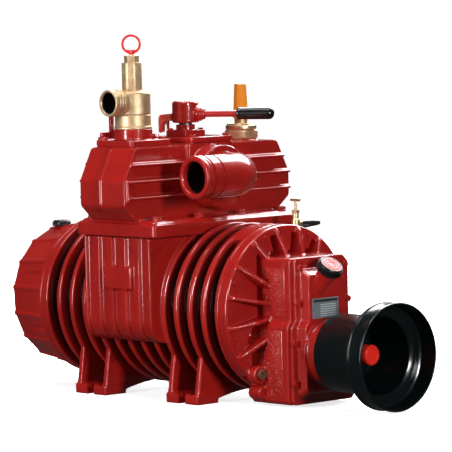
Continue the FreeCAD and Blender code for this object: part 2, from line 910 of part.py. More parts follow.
def rear_bearing_plate():
    """Rear end wall with the rotor bearing hub."""
    profile = [(-casing_half, 0), (-casing_half, fin_radius), (rear_face, fin_radius),
               (rear_face, rear_hub_radius), (rear_face - rear_hub_length, rear_hub_radius),
               (rear_face - rear_hub_length, 0)]
    plate = Part.Face(closed([Vec(x, 0, axis_height + r) for x, r in profile[:3]]
                             + [Vec(rear_face, 0, axis_height),
                                Vec(-casing_half, 0, axis_height)]))
    shape = plate.revolve(Vec(0, 0, axis_height), X, 360)
    hub_end = rear_face - rear_hub_length
    shape = shape.fuse(rod(rear_hub_radius, Vec(hub_end, 0, rotor_axis),
                           Vec(rear_face, 0, rotor_axis)))
    shape = shape.cut(rod(rotor_bearing_radius + running_gap, Vec(hub_end - 1, 0, rotor_axis),
                          Vec(hub_end + bearing_width, 0, rotor_axis)))
    return shape.cut(rod(shaft_radius + free_gap, Vec(hub_end, 0, rotor_axis),
                         Vec(-casing_half + 1, 0, rotor_axis)))


def oil_tank():
    """Faceted rear cover that holds the oil, ribbed along its corners."""
    def ring(x, radius):
        return closed([Vec(x, a, axis_height + b)
                       for a, b in polygon_points(rib_count, radius, rib_phase)])

    shell = Part.makeLoft([ring(tank_back, tank_back_radius),
                           ring(rear_face, tank_root_radius)], True, True)
    flange = rod(fin_radius, Vec(rear_face - casing_rim, 0, axis_height),
                 Vec(rear_face, 0, axis_height))
    half = tank_rib_thickness / 2
    rib_side = [Vec(rear_face, -half, axis_height + tank_root_radius - tank_wall),
                Vec(rear_face, -half, axis_height + tank_root_radius + tank_rib_height),
                Vec(tank_back, -half, axis_height + tank_back_radius + tank_rib_height),
                Vec(tank_back, -half, axis_height + tank_back_radius - tank_wall)]
    rib = Part.Face(closed(rib_side)).extrude(Y * tank_rib_thickness)
    pieces = [shell, flange]
    for k in range(rib_count):
        pieces.append(turned_x(rib, rib_phase - 90 + 360 * k / rib_count, axis_height))
    pieces.append(rod(tank_filler_radius, Vec(tank_filler_x, tank_filler_y, axis_height
                                              + tank_back_radius * 0.85),
                      Vec(tank_filler_x, tank_filler_y, tank_filler_top)))
    shape = fused(pieces)
    hollow = Part.makeLoft([ring(tank_back + tank_wall, tank_back_radius - tank_wall),
                            ring(rear_face + 1, tank_root_radius - tank_wall)], True, True)
    for seat in rim_seats(rear_flange_face, rib_phase + half_step):
        shape = shape.cut(rod(spot_radius, seat - X * tank_length, seat))
        hollow = hollow.cut(rod(spot_radius + tank_wall, seat - X * tank_length,
                                seat + X * (casing_rim + 1)))
    shape = shape.cut(hollow)
    shape = shape.cut(rod(tank_cap_radius + tank_spot,
                          Vec(tank_filler_x, tank_filler_y, tank_filler_top),
                          Vec(tank_filler_x, tank_filler_y, axis_height + fin_radius)))
    shape = shape.cut(rod(cap_plug_radius + free_gap,
                          Vec(tank_filler_x, tank_filler_y, axis_height),
                          Vec(tank_filler_x, tank_filler_y, tank_filler_top + 1)))
    shape = shape.cut(rod(sight_radius + seat_gap, Vec(tank_back - 1, sight_y, sight_z),
                          Vec(tank_back + tank_wall + 1, sight_y, sight_z)))
    return shape.cut(rod(plug_screw_radius + seat_gap, Vec(tank_back - 1, 0, tank_drain_z),
                         Vec(tank_back + tank_wall + 1, 0, tank_drain_z)))


tank_drain_z = axis_height - tank_back_radius * 0.78


def sight_glass():
    """Round oil sight glass in its flanged ring."""
    flange = 4.0
    return lathe_x([(tank_back + tank_wall, 0), (tank_back + tank_wall, sight_radius),
                    (tank_back, sight_radius), (tank_back, sight_radius + flange),
                    (tank_back - flange, sight_radius + flange),
                    (tank_back - flange, sight_radius - flange),
                    (tank_back, sight_radius - flange), (tank_back, 0)],
                   sight_z, sight_y)


def socket_plug(seat, out, depth):
    """Oil drain plug with a collar and a hexagon socket."""
    collar = 5.0
    plug = rod(plug_screw_radius + plug_collar, seat, seat + out * collar)
    plug = plug.fuse(rod(plug_screw_radius, seat - out * depth, seat))
    socket = hexagon(plug_screw_radius, seat - out * collar, seat + out * (collar + 1))
    return plug.cut(socket)


def oil_pump_body():
    """Small gear pump at the rear of the rotor shaft, on the bearing hub."""
    start = rear_face - rear_hub_length
    body = rod(pump_radius + 16, Vec(start - pump_length, 0, rotor_axis),
               Vec(start, 0, rotor_axis))
    body = body.cut(rod(pump_radius, Vec(start - pump_length + pump_wall, 0, rotor_axis),
                        Vec(start + 1, 0, rotor_axis)))
    return body


def oil_pump_rotor():
    """Rotor of the oil pump, on the end of the rotor shaft."""
    return tube(pump_radius - free_gap, shaft_radius + running_gap,
                Vec(rotor_rear_end, 0, rotor_axis),
                Vec(rotor_rear_end + pump_gear_width, 0, rotor_axis))


# Manifold and elbows

def body_section(inset):
    """Outline of the manifold chest seen along X, drawn in by an inset."""
    half = [(body_foot_y - inset, flange_top - 1 + inset),
            (body_belly_y - inset, body_belly_low),
            (body_belly_y - inset, body_belly_high),
            (body_neck_y - inset, body_crown - inset)]
    return half + [(-y, z) for y, z in reversed(half)]


def manifold():
    """Manifold casting: base flange, chest, saddle and the two pipe branches."""
    half = flange_length / 2
    base = box(-half, half, -flange_half_width, flange_half_width, flange_low, flange_top)
    upright = [e for e in base.Edges if abs(e.tangentAt(e.FirstParameter).z) > 0.9]
    base = base.makeFillet(flange_corner, upright)
    ledge = box(-half + flange_ledge, half - flange_ledge, -flange_half_width + flange_ledge,
                flange_half_width - flange_ledge, flange_top - flange_ledge, flange_top)
    base = base.cut(box(-half - 1, half + 1, -flange_half_width - 1, flange_half_width + 1,
                        flange_top - flange_ledge, flange_top + 1).cut(ledge))
    chest = slab_x(body_section(0), body_rear, body_front)
    long_edges = [e for e in chest.Edges if abs(e.tangentAt(e.FirstParameter).x) > 0.9
                  and e.CenterOfMass.z > flange_top]
    chest = chest.makeFillet(body_edge_radius, long_edges)
    pieces = [base, chest]
    front = body_front + face_rib_height
    rear = body_rear - face_rib_height
    for k in range(face_rib_count):
        z = face_rib_low + k * face_rib_pitch
        pieces.append(box(rear, front, -rib_reach(z), rib_reach(z),
                          z - face_rib_thickness / 2, z + face_rib_thickness / 2))
    pieces.append(box(saddle_rear, saddle_front, saddle_left, saddle_right,
                      body_crown - face_rib_pitch / 2, saddle_top - valve_cover))
    pieces.append(box(saddle_rear, front, saddle_left - face_rib_thickness, saddle_left + 1,
                      branch_height, saddle_top - valve_cover))
    pieces.append(rod(branch_radius, Vec(-branch_end, 0, boss_height),
                      Vec(branch_end, 0, boss_height)))
    pieces.append(box(relief_x - relief_plate_x / 2, relief_x + relief_plate_x / 2,
                      relief_y - relief_plate_y / 2, relief_y + relief_plate_y / 2,
                      body_crown - body_wall, relief_low))
    pieces.append(rod(vacuum_boss_radius, Vec(vacuum_x, vacuum_y, body_crown - body_wall),
                      Vec(vacuum_x, vacuum_y, vacuum_low)))
    shape = fused(pieces)
    inner = slab_x(body_section(body_wall), body_rear + body_wall, body_front - body_wall)
    middle = box(body_rear, body_front, -chest_side, chest_side, flange_low, saddle_top)
    shape = shape.cut(inner.cut(middle))
    for side in (-1, 1):
        y_near, y_far = sorted((side * port_inner, side * port_outer))
        shape = shape.cut(box(body_rear + body_wall, body_front - body_wall, y_near, y_far,
                              flange_low - 1, flange_top + body_wall + 1))
    shape = shape.cut(rod(plug_radius + running_gap, Vec(0, 0, plug_low - free_gap),
                          Vec(0, 0, saddle_top + 1)))
    shape = shape.cut(rod(branch_bore, Vec(-branch_end - 1, 0, branch_height),
                          Vec(branch_end + 1, 0, branch_height)))
    window = branch_bore * 0.8
    shape = shape.cut(box(-window, window, -chest_side - 1, chest_side + 1,
                          branch_height - window, branch_height + window))
    shape = shape.cut(rod(relief_throat, Vec(relief_x, relief_y, body_crown - body_wall - 1),
                          Vec(relief_x, relief_y, relief_low + 1)))
    return shape.cut(rod(vacuum_spigot_radius + seat_gap,
                         Vec(vacuum_x, vacuum_y, body_crown - body_wall - 1),
                         Vec(vacuum_x, vacuum_y, vacuum_low + 1)))


def rib_reach(z):
    """How far from the middle a face rib runs at a height: just past the chest's side."""
    lean = (body_belly_y - body_neck_y) / (body_crown - body_belly_high)
    inside = max(z - body_belly_high, 0) * lean
    return body_belly_y - inside + 1


def manifold_gasket():
    """Flat gasket under the manifold, open at the two ports."""
    inset = 2.0
    half = block_half - inset
    sheet = box(-half, half, -block_half_width + inset, block_half_width - inset,
                block_top, flange_low)
    for side in (-1, 1):
        y_near, y_far = sorted((side * port_inner, side * port_outer))
        sheet = sheet.cut(box(-port_length / 2, port_length / 2, y_near, y_far,
                              block_top - 1, flange_low + 1))
    return sheet


def elbow(end, side):
    """Hose elbow on one end of the manifold, turning to one side."""
    def bent(radius):
        centre = Vec(branch_end + elbow_lead, -elbow_bend, branch_height)
        start = Vec(branch_end, 0, branch_height)
        turn = Vec(branch_end + elbow_lead, 0, branch_height)
        circle = Part.Face(Part.Wire(Part.Circle(turn, X, radius).toShape()))
        bow = circle.revolve(centre, Z, -90)
        outlet = Vec(centre.x + elbow_bend, -elbow_bend, branch_height)
        return fused([rod(radius, start, turn), bow,
                      rod(radius, outlet, outlet - Y * elbow_tail)])

    shape = bent(pipe_radius).fuse(rod(branch_radius, Vec(branch_end, 0, boss_height),
                                       Vec(branch_end + elbow_flange, 0, boss_height)))
    shape = shape.cut(bent(pipe_bore))
    axis_x = branch_end + elbow_lead + elbow_bend
    mouth = -elbow_bend - elbow_tail
    for start in (first_groove, second_groove):
        a = Vec(axis_x, mouth + start, branch_height)
        shape = shape.cut(tube(pipe_radius + 1, pipe_radius - hose_groove_depth, a,
                               a + Y * groove_width))
    if end < 0:
        shape.rotate(Vec(0, 0, 0), Z, 180)
    return shape


# Changeover valve

def changeover_plug():
    """Rotary plug: two discs joined by a web that parts the chest in two, and a stem."""
    low = rod(plug_radius, Vec(0, 0, plug_low), Vec(0, 0, plug_low + plug_disc))
    high = rod(plug_radius, Vec(0, 0, plug_high - plug_disc), Vec(0, 0, plug_high))
    web = box(-plug_radius, plug_radius, -plug_web / 2, plug_web / 2, plug_low, plug_high)
    web = turned_z(web, 45).common(rod(plug_radius, Vec(0, 0, plug_low), Vec(0, 0, plug_high)))
    stem = rod(stem_radius, Vec(0, 0, plug_high), Vec(0, 0, hub_low + hub_height - 4))
    return fused([low, high, web, stem])


def changeover_gland():
    """Gland that closes the plug's bore and guides its stem."""
    half = gland_width / 2
    flange = box(-half, half, -half, half, saddle_top, saddle_top + gland_flange)
    upright = [e for e in flange.Edges if abs(e.tangentAt(e.FirstParameter).z) > 0.9]
    flange = flange.makeFillet(half / 4, upright)
    neck = rod(gland_neck_radius, Vec(0, 0, saddle_top + gland_flange), Vec(0, 0, gland_top))
    gland = fused([flange, neck])
    return gland.cut(rod(stem_radius + running_gap, Vec(0, 0, saddle_top - 1),
                         Vec(0, 0, gland_top + 1)))


def changeover_cover():
    """Cover plate over the plug's bore, with a spigot that locates it."""
    low = saddle_top - valve_cover
    plate = box(saddle_rear, saddle_front, saddle_left, saddle_right, low, saddle_top)
    upright = [e for e in plate.Edges if abs(e.tangentAt(e.FirstParameter).z) > 0.9]
    plate = plate.makeFillet(valve_screw_edge / 2, upright)
    plate = plate.fuse(rod(plug_radius - seat_gap, Vec(0, 0, plug_high + free_gap),
                           Vec(0, 0, low)))
    return plate.cut(rod(stem_radius + running_gap, Vec(0, 0, plug_high),
                         Vec(0, 0, saddle_top + 1)))


def lever_hub():
    """Hub on the plug's stem, with the lever boss and the pointer that shows its setting."""
    hub = lathe_z([(0, hub_low), (hub_radius - 2, hub_low), (hub_radius, hub_low + 2),
                   (hub_radius, hub_low + hub_height - 3),
                   (hub_radius - 3, hub_low + hub_height), (0, hub_low + hub_height)], 0, 0)
    height = hub_low + lever_height
    boss = rod(lever_boss_radius, Vec(0, 0, height), Vec(lever_boss_reach, 0, height))
    half = pointer_width / 2
    arm = box(-pointer_reach, 0, -half, half, hub_low, hub_low + pointer_thickness)
    drop = box(-pointer_reach, -pointer_reach + pointer_thickness, -half, half,
               hub_low - pointer_drop, hub_low + pointer_thickness)
    pointer = fused([arm, drop])
    outer = [e for e in pointer.Edges
             if abs(e.tangentAt(e.FirstParameter).y) > 0.9
             and abs(e.CenterOfMass.x + pointer_reach) < 0.1
             and abs(e.CenterOfMass.z - hub_low - pointer_thickness) < 0.1]
    pointer = pointer.makeFillet(pointer_thickness * 0.9, outer)
    shape = fused([hub, boss, pointer])
    shape = shape.cut(rod(stem_radius, Vec(0, 0, hub_low - 1),
                          Vec(0, 0, hub_low + hub_height - 4)))
    socket = rod(lever_radius + seat_gap, Vec(hub_radius - 6, 0, height),
                 Vec(lever_boss_reach + 1, 0, height))
    return turned_z(shape.cut(socket), lever_angle)


def lever_bar():
    """Lever bar, from its socket in the hub to inside the grip."""
    height = hub_low + lever_height
    bar = rod(lever_radius, Vec(hub_radius - 6, 0, height),
              Vec(lever_length - grip_length + grip_hole, 0, height))
    return turned_z(bar, lever_angle)


def lever_grip():
    """Moulded grip with a rounded end, pushed on the lever."""
    height = hub_low + lever_height
    start = lever_length - grip_length
    point = grip_radius * 0.55
    profile = [(start, 0), (start, grip_radius - 1.5), (start + 1.5, grip_radius),
               (lever_length - grip_radius * 0.8, grip_radius),
               (lever_length - grip_radius * 0.3, grip_radius * 0.8),
               (lever_length, point), (lever_length, 0)]
    grip = lathe_x(profile, height)
    hole = rod(lever_radius + seat_gap, Vec(start - 1, 0, height),
               Vec(start + grip_hole, 0, height))
    return turned_z(grip.cut(hole), lever_angle)


# Relief valve

def relief_flange():
    """Relief valve flange: a plate on the chest, a round collar and a lug at the rear."""
    plate = box(relief_x - relief_plate_x / 2, relief_x + relief_plate_x / 2,
                relief_y - relief_plate_y / 2, relief_y + relief_plate_y / 2,
                relief_low, relief_low + relief_plate_thickness)
    upright = [e for e in plate.Edges if abs(e.tangentAt(e.FirstParameter).z) > 0.9]
    plate = plate.makeFillet(flange_corner, upright)
    collar = rod(collar_radius, Vec(relief_x, relief_y, relief_low), Vec(
        relief_x, relief_y, relief_seat_top))
    edge = relief_x - relief_plate_x / 2
    foot_z = relief_low + relief_plate_thickness
    toe_y = relief_y - relief_plate_y / 2 + relief_lug_inset
    lug = slab_x([(toe_y, foot_z - 1), (toe_y, foot_z + relief_lug_step),
                  (toe_y + relief_lug_step, foot_z + relief_lug_step),
                  (toe_y + relief_lug_step, foot_z + relief_lug_toe),
                  (relief_y - relief_lug_far, foot_z + relief_lug_toe),
                  (relief_y - relief_lug_far, foot_z + relief_lug_height),
                  (relief_y - relief_lug_near, foot_z + relief_lug_height),
                  (relief_y - relief_lug_near, foot_z - 1)], edge, edge + relief_lug_thickness)
    throat = rod(relief_throat, Vec(relief_x, relief_y, relief_low - 1),
                 Vec(relief_x, relief_y, relief_seat_top + 1))
    return fused([plate, collar, lug]).cut(throat)


def relief_body():
    """Brass relief valve body with its seat and side outlet."""
    low = relief_seat_top
    ridge = relief_radius + relief_ridge
    waist = low + relief_waist
    profile = [(relief_throat, low), (relief_radius, low), (ridge, low + 2), (ridge, low + 5),
               (relief_radius, low + 7), (relief_radius, waist - 1),
               (relief_radius - 1.5, waist), (relief_radius, waist + 1),
               (relief_radius, relief_top - 4), (relief_radius - 4, relief_top),
               (bonnet_bore, relief_top), (bonnet_bore, relief_top - relief_wall * 2),
               (relief_radius - relief_wall, relief_top - relief_wall * 2),
               (relief_radius - relief_wall, low + relief_seat),
               (relief_throat, low + relief_seat)]
    body = lathe_z(profile, relief_x, relief_y)
    height = low + outlet_height
    mouth = Vec(relief_x, relief_y - outlet_reach, height)
    inside = Vec(relief_x, relief_y - relief_radius + 10, height)
    spout = rod(outlet_radius, mouth, inside)
    for k in range(3):
        start = mouth + Y * (12 + 7 * k)
        spout = spout.fuse(rod(outlet_radius + relief_ridge, start, start + Y * 3))
    core = rod(relief_radius - relief_wall, Vec(relief_x, relief_y, low + relief_seat),
               Vec(relief_x, relief_y, relief_top - relief_wall * 2))
    body = body.fuse(spout.cut(core))
    return body.cut(rod(outlet_bore, mouth, mouth + Y * outlet_depth))


def relief_bonnet():
    """Spring housing on the relief valve body."""
    return lathe_z([(bonnet_bore, relief_top), (bonnet_radius, relief_top),
                    (bonnet_radius, bonnet_top - 2), (bonnet_radius - 2, bonnet_top),
                    (adjuster_screw + seat_gap, bonnet_top),
                    (adjuster_screw + seat_gap, bonnet_top - 14),
                    (bonnet_bore, bonnet_top - 14)], relief_x, relief_y)


def relief_adjuster():
    """Hexagon screw that sets the relief pressure, bored for the spindle."""
    base = Vec(relief_x, relief_y, bonnet_top)
    shape = hexagon(adjuster_flats, base, base + Z * adjuster_height)
    shape = shape.fuse(rod(adjuster_screw, base - Z * 14, base))
    return shape.cut(rod(spindle_radius + running_gap, base - Z * 15,
                         base + Z * (adjuster_height + 1)))


spring_low = relief_seat_top + relief_seat + free_gap + disc_thickness + seat_gap
spring_high = bonnet_top - 14


def relief_disc():
    """Relief valve disc with its spindle, which runs up to the pull ring."""
    low = relief_seat_top + relief_seat + free_gap
    disc = rod(disc_radius, Vec(relief_x, relief_y, low),
               Vec(relief_x, relief_y, low + disc_thickness))
    spindle = rod(spindle_radius, Vec(relief_x, relief_y, low),
                  Vec(relief_x, relief_y, adjuster_top + pull_ring_floor))
    return disc.fuse(spindle)


def pull_ring():
    """Flat ring on top of the spindle, with a thick straight floor."""
    centre_z = adjuster_top + pull_ring_lift + pull_ring_radius
    half = pull_ring_thickness / 2
    ring = rod(pull_ring_radius, Vec(-half, 0, centre_z), Vec(half, 0, centre_z))
    hole = rod(pull_ring_hole, Vec(-half - 1, 0, centre_z), Vec(half + 1, 0, centre_z))
    floor = centre_z - pull_ring_radius + pull_ring_floor
    hole = hole.cut(box(-half - 1, half + 1, -pull_ring_radius, pull_ring_radius,
                        centre_z - pull_ring_radius, floor))
    ring = ring.cut(hole)
    foot_boss = rod(spindle_radius + 2, Vec(0, 0, adjuster_top + pull_ring_lift - 1),
                    Vec(0, 0, floor - 1))
    ring = ring.fuse(foot_boss).cut(rod(spindle_radius, Vec(0, 0, adjuster_top),
                                        Vec(0, 0, adjuster_top + pull_ring_floor)))
    ring = turned_z(ring, -(90 - pull_ring_turn))
    ring.translate(Vec(relief_x, relief_y, 0))
    return ring


def spring(radius, x, y, low, high):
    """Coil spring, drawn as the tube that its wire fills."""
    return tube(radius, radius - spring_wire, Vec(x, y, low), Vec(x, y, high))


# Vacuum regulating valve

def vacuum_body():
    """Brass body of the vacuum regulating valve, screwed into the chest."""
    seat = Vec(vacuum_x, vacuum_y, vacuum_low)
    up = seat + Z * vacuum_hex_height
    shape = hexagon(vacuum_flats, seat, up)
    shape = shape.fuse(rod(vacuum_spigot_radius, seat - Z * vacuum_spigot_length, seat))
    shape = shape.fuse(rod(vacuum_neck_radius, up, Vec(vacuum_x, vacuum_y, vacuum_neck_top)))
    floor = seat - Z * (vacuum_spigot_length - vacuum_seat_wall)
    chamber_top = Vec(vacuum_x, vacuum_y, vacuum_hex_top)
    shape = shape.cut(rod(vacuum_chamber, floor, chamber_top))
    shape = shape.cut(rod(poppet_collar + free_gap, floor, Vec(vacuum_x, vacuum_y,
                                                              vacuum_neck_top + 1)))
    return shape.cut(rod(vacuum_seat_hole, floor - Z * (vacuum_seat_wall + 1), floor))


def vacuum_nut():
    """Round lock nut above the hexagon."""
    return tube(vacuum_nut_radius, vacuum_neck_radius + seat_gap,
                Vec(vacuum_x, vacuum_y, vacuum_hex_top), Vec(vacuum_x, vacuum_y, vacuum_nut_top))


def vacuum_poppet():
    """Poppet under its seat, with the stem and collar that the spring lifts."""
    seat_low = vacuum_low - vacuum_spigot_length
    top = Vec(vacuum_x, vacuum_y, vacuum_neck_top - poppet_collar_top)
    disc_top = seat_low - free_gap
    disc = rod(poppet_radius, Vec(vacuum_x, vacuum_y, disc_top - poppet_thickness),
               Vec(vacuum_x, vacuum_y, disc_top))
    stem = rod(poppet_stem, Vec(vacuum_x, vacuum_y, disc_top), top)
    collar = rod(poppet_collar, top - Z * poppet_collar_height, top)
    return fused([disc, stem, collar])


def vacuum_knob():
    """Orange adjusting cap over the neck."""
    low = vacuum_nut_top + knob_lift
    top = low + knob_height
    inner = vacuum_neck_radius + free_gap
    hollow_top = vacuum_neck_top + free_gap
    profile = [(inner, low), (knob_base_radius, low), (knob_base_radius, low + knob_skirt),
               (knob_low_radius, low + knob_skirt + 1.5), (knob_top_radius, top - 1.5),
               (knob_top_radius - 1.5, top), (0, top), (0, hollow_top), (inner, hollow_top)]
    return lathe_z(profile, vacuum_x, vacuum_y)


# Needle cock, nipple and hose

def needle_cock():
    """Brass needle cock on the casing, with its hose tail."""
    base = Vec(cock_x, cock_y, cock_seat)
    shape = hexagon(cock_flats, base, base + Z * cock_hex_height)
    shape = shape.fuse(rod(cock_body_radius * 0.75, base + Z * cock_hex_height,
                           base + Z * cock_body_height))
    neck = base + Z * (cock_outlet_height - 9)
    shape = shape.fuse(rod(cock_body_radius, neck, neck + Z * 18))
    outlet = base + Z * cock_outlet_height
    shape = shape.fuse(rod(barb_radius, outlet, outlet + Y * barb_reach))
    gland = base + Z * cock_body_height
    shape = shape.fuse(hexagon(cock_body_radius * 1.7, gland - Z * 6, gland))
    return shape.cut(rod(tee_stem_radius + running_gap, gland - Z * 12, gland + Z))


def cock_handle():
    """T-handle with its threaded stem."""
    gland = Vec(cock_x, cock_y, cock_seat + cock_body_height)
    top = gland + Z * tee_stem_height
    stem = rod(tee_stem_radius, gland - Z * (12 - free_gap), top)
    bar = rod(tee_bar_radius, top - X * (tee_bar_length / 2), top + X * (tee_bar_length / 2))
    return stem.fuse(bar)


def hose_nipple():
    """Angled brass nipple that takes the hose back into the casing."""
    base = Vec(nipple_x, cock_y, nipple_seat)
    outlet = base + Z * nipple_outlet_height
    shape = rod(nipple_radius, base, base + Z * (nipple_outlet_height + barb_radius + 1))
    shape = shape.fuse(hexagon(cock_flats * 0.8, base, base + Z * 4))
    return shape.fuse(rod(barb_radius, outlet, outlet + Y * barb_reach))


hose_start = Vec(cock_x, cock_y + barb_reach, cock_seat + cock_outlet_height)
hose_end = Vec(nipple_x, cock_y + barb_reach, nipple_seat + nipple_outlet_height)
hose_points = [hose_start, hose_start + Vec(0, 23, 0), hose_start + Vec(2, 47, -2),
               hose_start + Vec(-15, 64.5, -5), hose_end + Vec(18, 65, 13),
               hose_end + Vec(-2, 48, 7), hose_end + Vec(0, 23, 0), hose_end]


def hose():
    """Rubber hose: straight runs joined by the largest tangent arcs that fit."""
    share = 0.45
    edges = []
    radii = []
    last = hose_points[0]
    for before, point, after in zip(hose_points, hose_points[1:], hose_points[2:]):
        run_in = point.sub(before)
        run_out = after.sub(point)
        cut = share * min(run_in.Length, run_out.Length)
        way_in = Vec(run_in).normalize()
        way_out = Vec(run_out).normalize()
        turn = math.acos(max(-1.0, min(1.0, way_in.dot(way_out))))
        radius = cut / math.tan(turn / 2)
        start = point - way_in * cut
        end = point + way_out * cut
        inward = (way_out - way_in).normalize()
        middle = point + inward * (radius * (1 / math.cos(turn / 2) - 1))
        edges.append(Part.LineSegment(last, start).toShape())
        edges.append(Part.Arc(start, middle, end).toShape())
        radii.append(round(radius, 1))
        last = end
    edges.append(Part.LineSegment(last, hose_points[-1]).toShape())
    path = Part.Wire(edges)
    first = hose_points[1].sub(hose_points[0])
    circle = Part.Wire(Part.Circle(hose_points[0], first, hose_radius).toShape())
    shape = path.makePipeShell([circle], True, True)
    print("hose radii", radii, "length", round(path.Length, 1), "volume ratio",
          round(shape.Volume / (math.pi * hose_radius ** 2 * path.Length), 4))
    return shape


# Put the pieces together, with the screws and the holes that they need

def corner_seats(x, y, dx, dy, z):
    """Screw seats at the four corners of a rectangle."""
    return [Vec(x + i * dx, y + j * dy, z) for i in (-1, 1) for j in (-1, 1)]


tank_screws, tank_holes = screws(rim_seats(rear_flange_face, rib_phase + half_step), -X, m10,
                                 casing_rim + rear_plate + rim_screw_length)
front_screws, front_holes = screws(rim_seats(front_face, rib_phase + half_step), X, m10,
                                   front_rim + rim_screw_length)
manifold_seats = corner_seats(0, 0, flange_length / 2 - flange_ledge - screw_edge,
                              flange_half_width - flange_ledge - screw_edge, flange_top)
manifold_seats += [Vec(i * (flange_length / 2 - flange_ledge - screw_edge), j * port_inner / 2,
                       flange_top) for i in (-1, 1) for j in (-1, 1)]
manifold_screws, manifold_holes = screws(manifold_seats, Z, m12, manifold_screw_length)
case_screws, case_holes = screws(case_seats, X, m8, case_screw_length + cover_flange)
relief_seats = corner_seats(relief_x, relief_y, relief_plate_x / 2 - screw_edge,
                            relief_plate_y / 2 - screw_edge,
                            relief_low + relief_plate_thickness)
relief_screws, relief_holes = screws(relief_seats, Z, m8, relief_screw_length)
gland_edge = gland_width / 2 - gland_screw_edge
gland_screws, gland_holes = screws(
    corner_seats(0, 0, gland_edge, gland_edge, saddle_top + gland_flange), Z, m6,
    gland_flange + gland_screw_length)
valve_screws, valve_holes = screws(
    corner_seats((saddle_front + saddle_rear) / 2, (saddle_right + saddle_left) / 2,
                 (saddle_front - saddle_rear) / 2 - valve_screw_edge,
                 (saddle_right - saddle_left) / 2 - valve_screw_edge, saddle_top), Z, m8,
    valve_cover + gland_screw_length)


def elbow_seats(x):
    """Screw seats on an elbow flange."""
    return [Vec(x, a, boss_height + b) for a, b in polygon_points(4, elbow_screw_circle, 45)]


elbow_face = branch_end + elbow_flange
front_elbow_screws, front_elbow_holes = screws(elbow_seats(elbow_face), X, m8,
                                               elbow_screw_length)
rear_elbow_screws, rear_elbow_holes = screws(elbow_seats(-elbow_face), -X, m8,
                                             elbow_screw_length)

parts["casing"] = casing().cut(front_holes).cut(tank_holes).cut(manifold_holes)
parts["foot_webs"] = foot_webs()
parts["foot_pads"] = foot_pads()
parts["casing_end_screws"] = Part.Compound([front_screws, tank_screws])
parts["rotor"] = rotor()
parts["rotor_vanes"] = rotor_vanes()
parts["rotor_pinion"] = spur_gear(pinion_teeth, pinion_width, shaft_radius + running_gap,
                                  gear_x, rotor_axis, 180.0)
parts["input_gear"] = spur_gear(wheel_teeth, wheel_width, shaft_radius + running_gap,
                                gear_x + (pinion_width - wheel_width) / 2, input_axis,
                                180.0 / wheel_teeth)
parts["input_shaft"] = input_shaft()
parts["rotor_front_bearing"] = bearing(rotor_bearing_radius, shaft_radius + running_gap,
                                       case_back - bearing_width, rotor_axis)
parts["rotor_rear_bearing"] = bearing(rotor_bearing_radius, shaft_radius + running_gap,
                                      rear_face - rear_hub_length, rotor_axis)
parts["input_rear_bearing"] = bearing(input_bearing_radius, shaft_radius + running_gap,
                                      case_back - bearing_width, input_axis)
parts["input_front_bearing"] = bearing(input_bearing_radius, shaft_radius + running_gap,
                                       case_front, input_axis)
parts["rotor_shaft_seal"] = seal(casing_half, rotor_axis)
parts["input_shaft_seal"] = seal(neck_end - seal_width, input_axis)
parts["front_housing"] = front_housing().cut(case_holes).cut(front_holes)
parts["gear_case_cover"] = gear_case_cover().cut(case_holes)
parts["gear_case_screws"] = case_screws
parts["data_plate"] = box(cover_face, cover_face + plate_thickness,
                          plate_centre_y - plate_width / 2, plate_centre_y + plate_width / 2,
                          plate_centre_z - plate_height / 2, plate_centre_z + plate_height / 2)
parts["gear_oil_cap"] = fluted_cap(filler_cap_radius, filler_cap_height, filler_seat,
                                   filler_out)
parts["gear_drain_plug"] = socket_plug(Vec(front_face + drain_boss_length, drain_y, drain_z),
                                       X, cap_plug_length - 1)
parts["pto_cap"] = pto_cap()
parts["shaft_guard"] = shaft_guard()
parts["rear_bearing_plate"] = rear_bearing_plate().cut(tank_holes)
parts["oil_tank"] = oil_tank().cut(tank_holes)
parts["oil_tank_cap"] = fluted_cap(tank_cap_radius, tank_cap_height,
                                   Vec(tank_filler_x, tank_filler_y, tank_filler_top), Z)
parts["oil_tank_drain_plug"] = socket_plug(Vec(tank_back, 0, tank_drain_z), -X, tank_wall)
parts["oil_sight_glass"] = sight_glass()
parts["oil_pump_body"] = oil_pump_body()
parts["oil_pump_rotor"] = oil_pump_rotor()
parts["manifold_gasket"] = manifold_gasket()
parts["manifold"] = manifold().cut(manifold_holes).cut(relief_holes).cut(valve_holes).cut(
    front_elbow_holes).cut(rear_elbow_holes)
parts["manifold_screws"] = manifold_screws
parts["front_elbow"] = elbow(1, -1).cut(front_elbow_holes)
parts["rear_elbow"] = elbow(-1, 1).cut(rear_elbow_holes)
parts["chest_screws"] = Part.Compound([front_elbow_screws, rear_elbow_screws, relief_screws,
                                       valve_screws])
parts["changeover_gland"] = changeover_gland().cut(gland_holes)
parts["gland_screws"] = gland_screws
parts["changeover_cover"] = changeover_cover().cut(gland_holes).cut(valve_holes)
parts["changeover_plug"] = changeover_plug()
parts["lever_hub"] = lever_hub()
parts["lever_bar"] = lever_bar()
parts["lever_grip"] = lever_grip()
parts["relief_flange"] = relief_flange().cut(relief_holes)
parts["relief_body"] = relief_body()
parts["relief_bonnet"] = relief_bonnet()
parts["relief_adjuster"] = relief_adjuster()
parts["relief_disc"] = relief_disc()
parts["relief_pull_ring"] = pull_ring()
parts["relief_spring"] = spring(relief_spring_radius, relief_x, relief_y, spring_low,
                                spring_high)
parts["vacuum_valve_body"] = vacuum_body()
parts["vacuum_valve_nut"] = vacuum_nut()
parts["vacuum_valve_poppet"] = vacuum_poppet()
parts["vacuum_valve_spring"] = spring(
    vacuum_spring_radius, vacuum_x, vacuum_y,
    vacuum_low - vacuum_spigot_length + vacuum_seat_wall,
    vacuum_neck_top - poppet_collar_top - poppet_collar_height - seat_gap)
parts["vacuum_valve_knob"] = vacuum_knob()
parts["needle_cock"] = needle_cock()
parts["cock_handle"] = cock_handle()
parts["hose_nipple"] = hose_nipple()
parts["hose"] = hose()

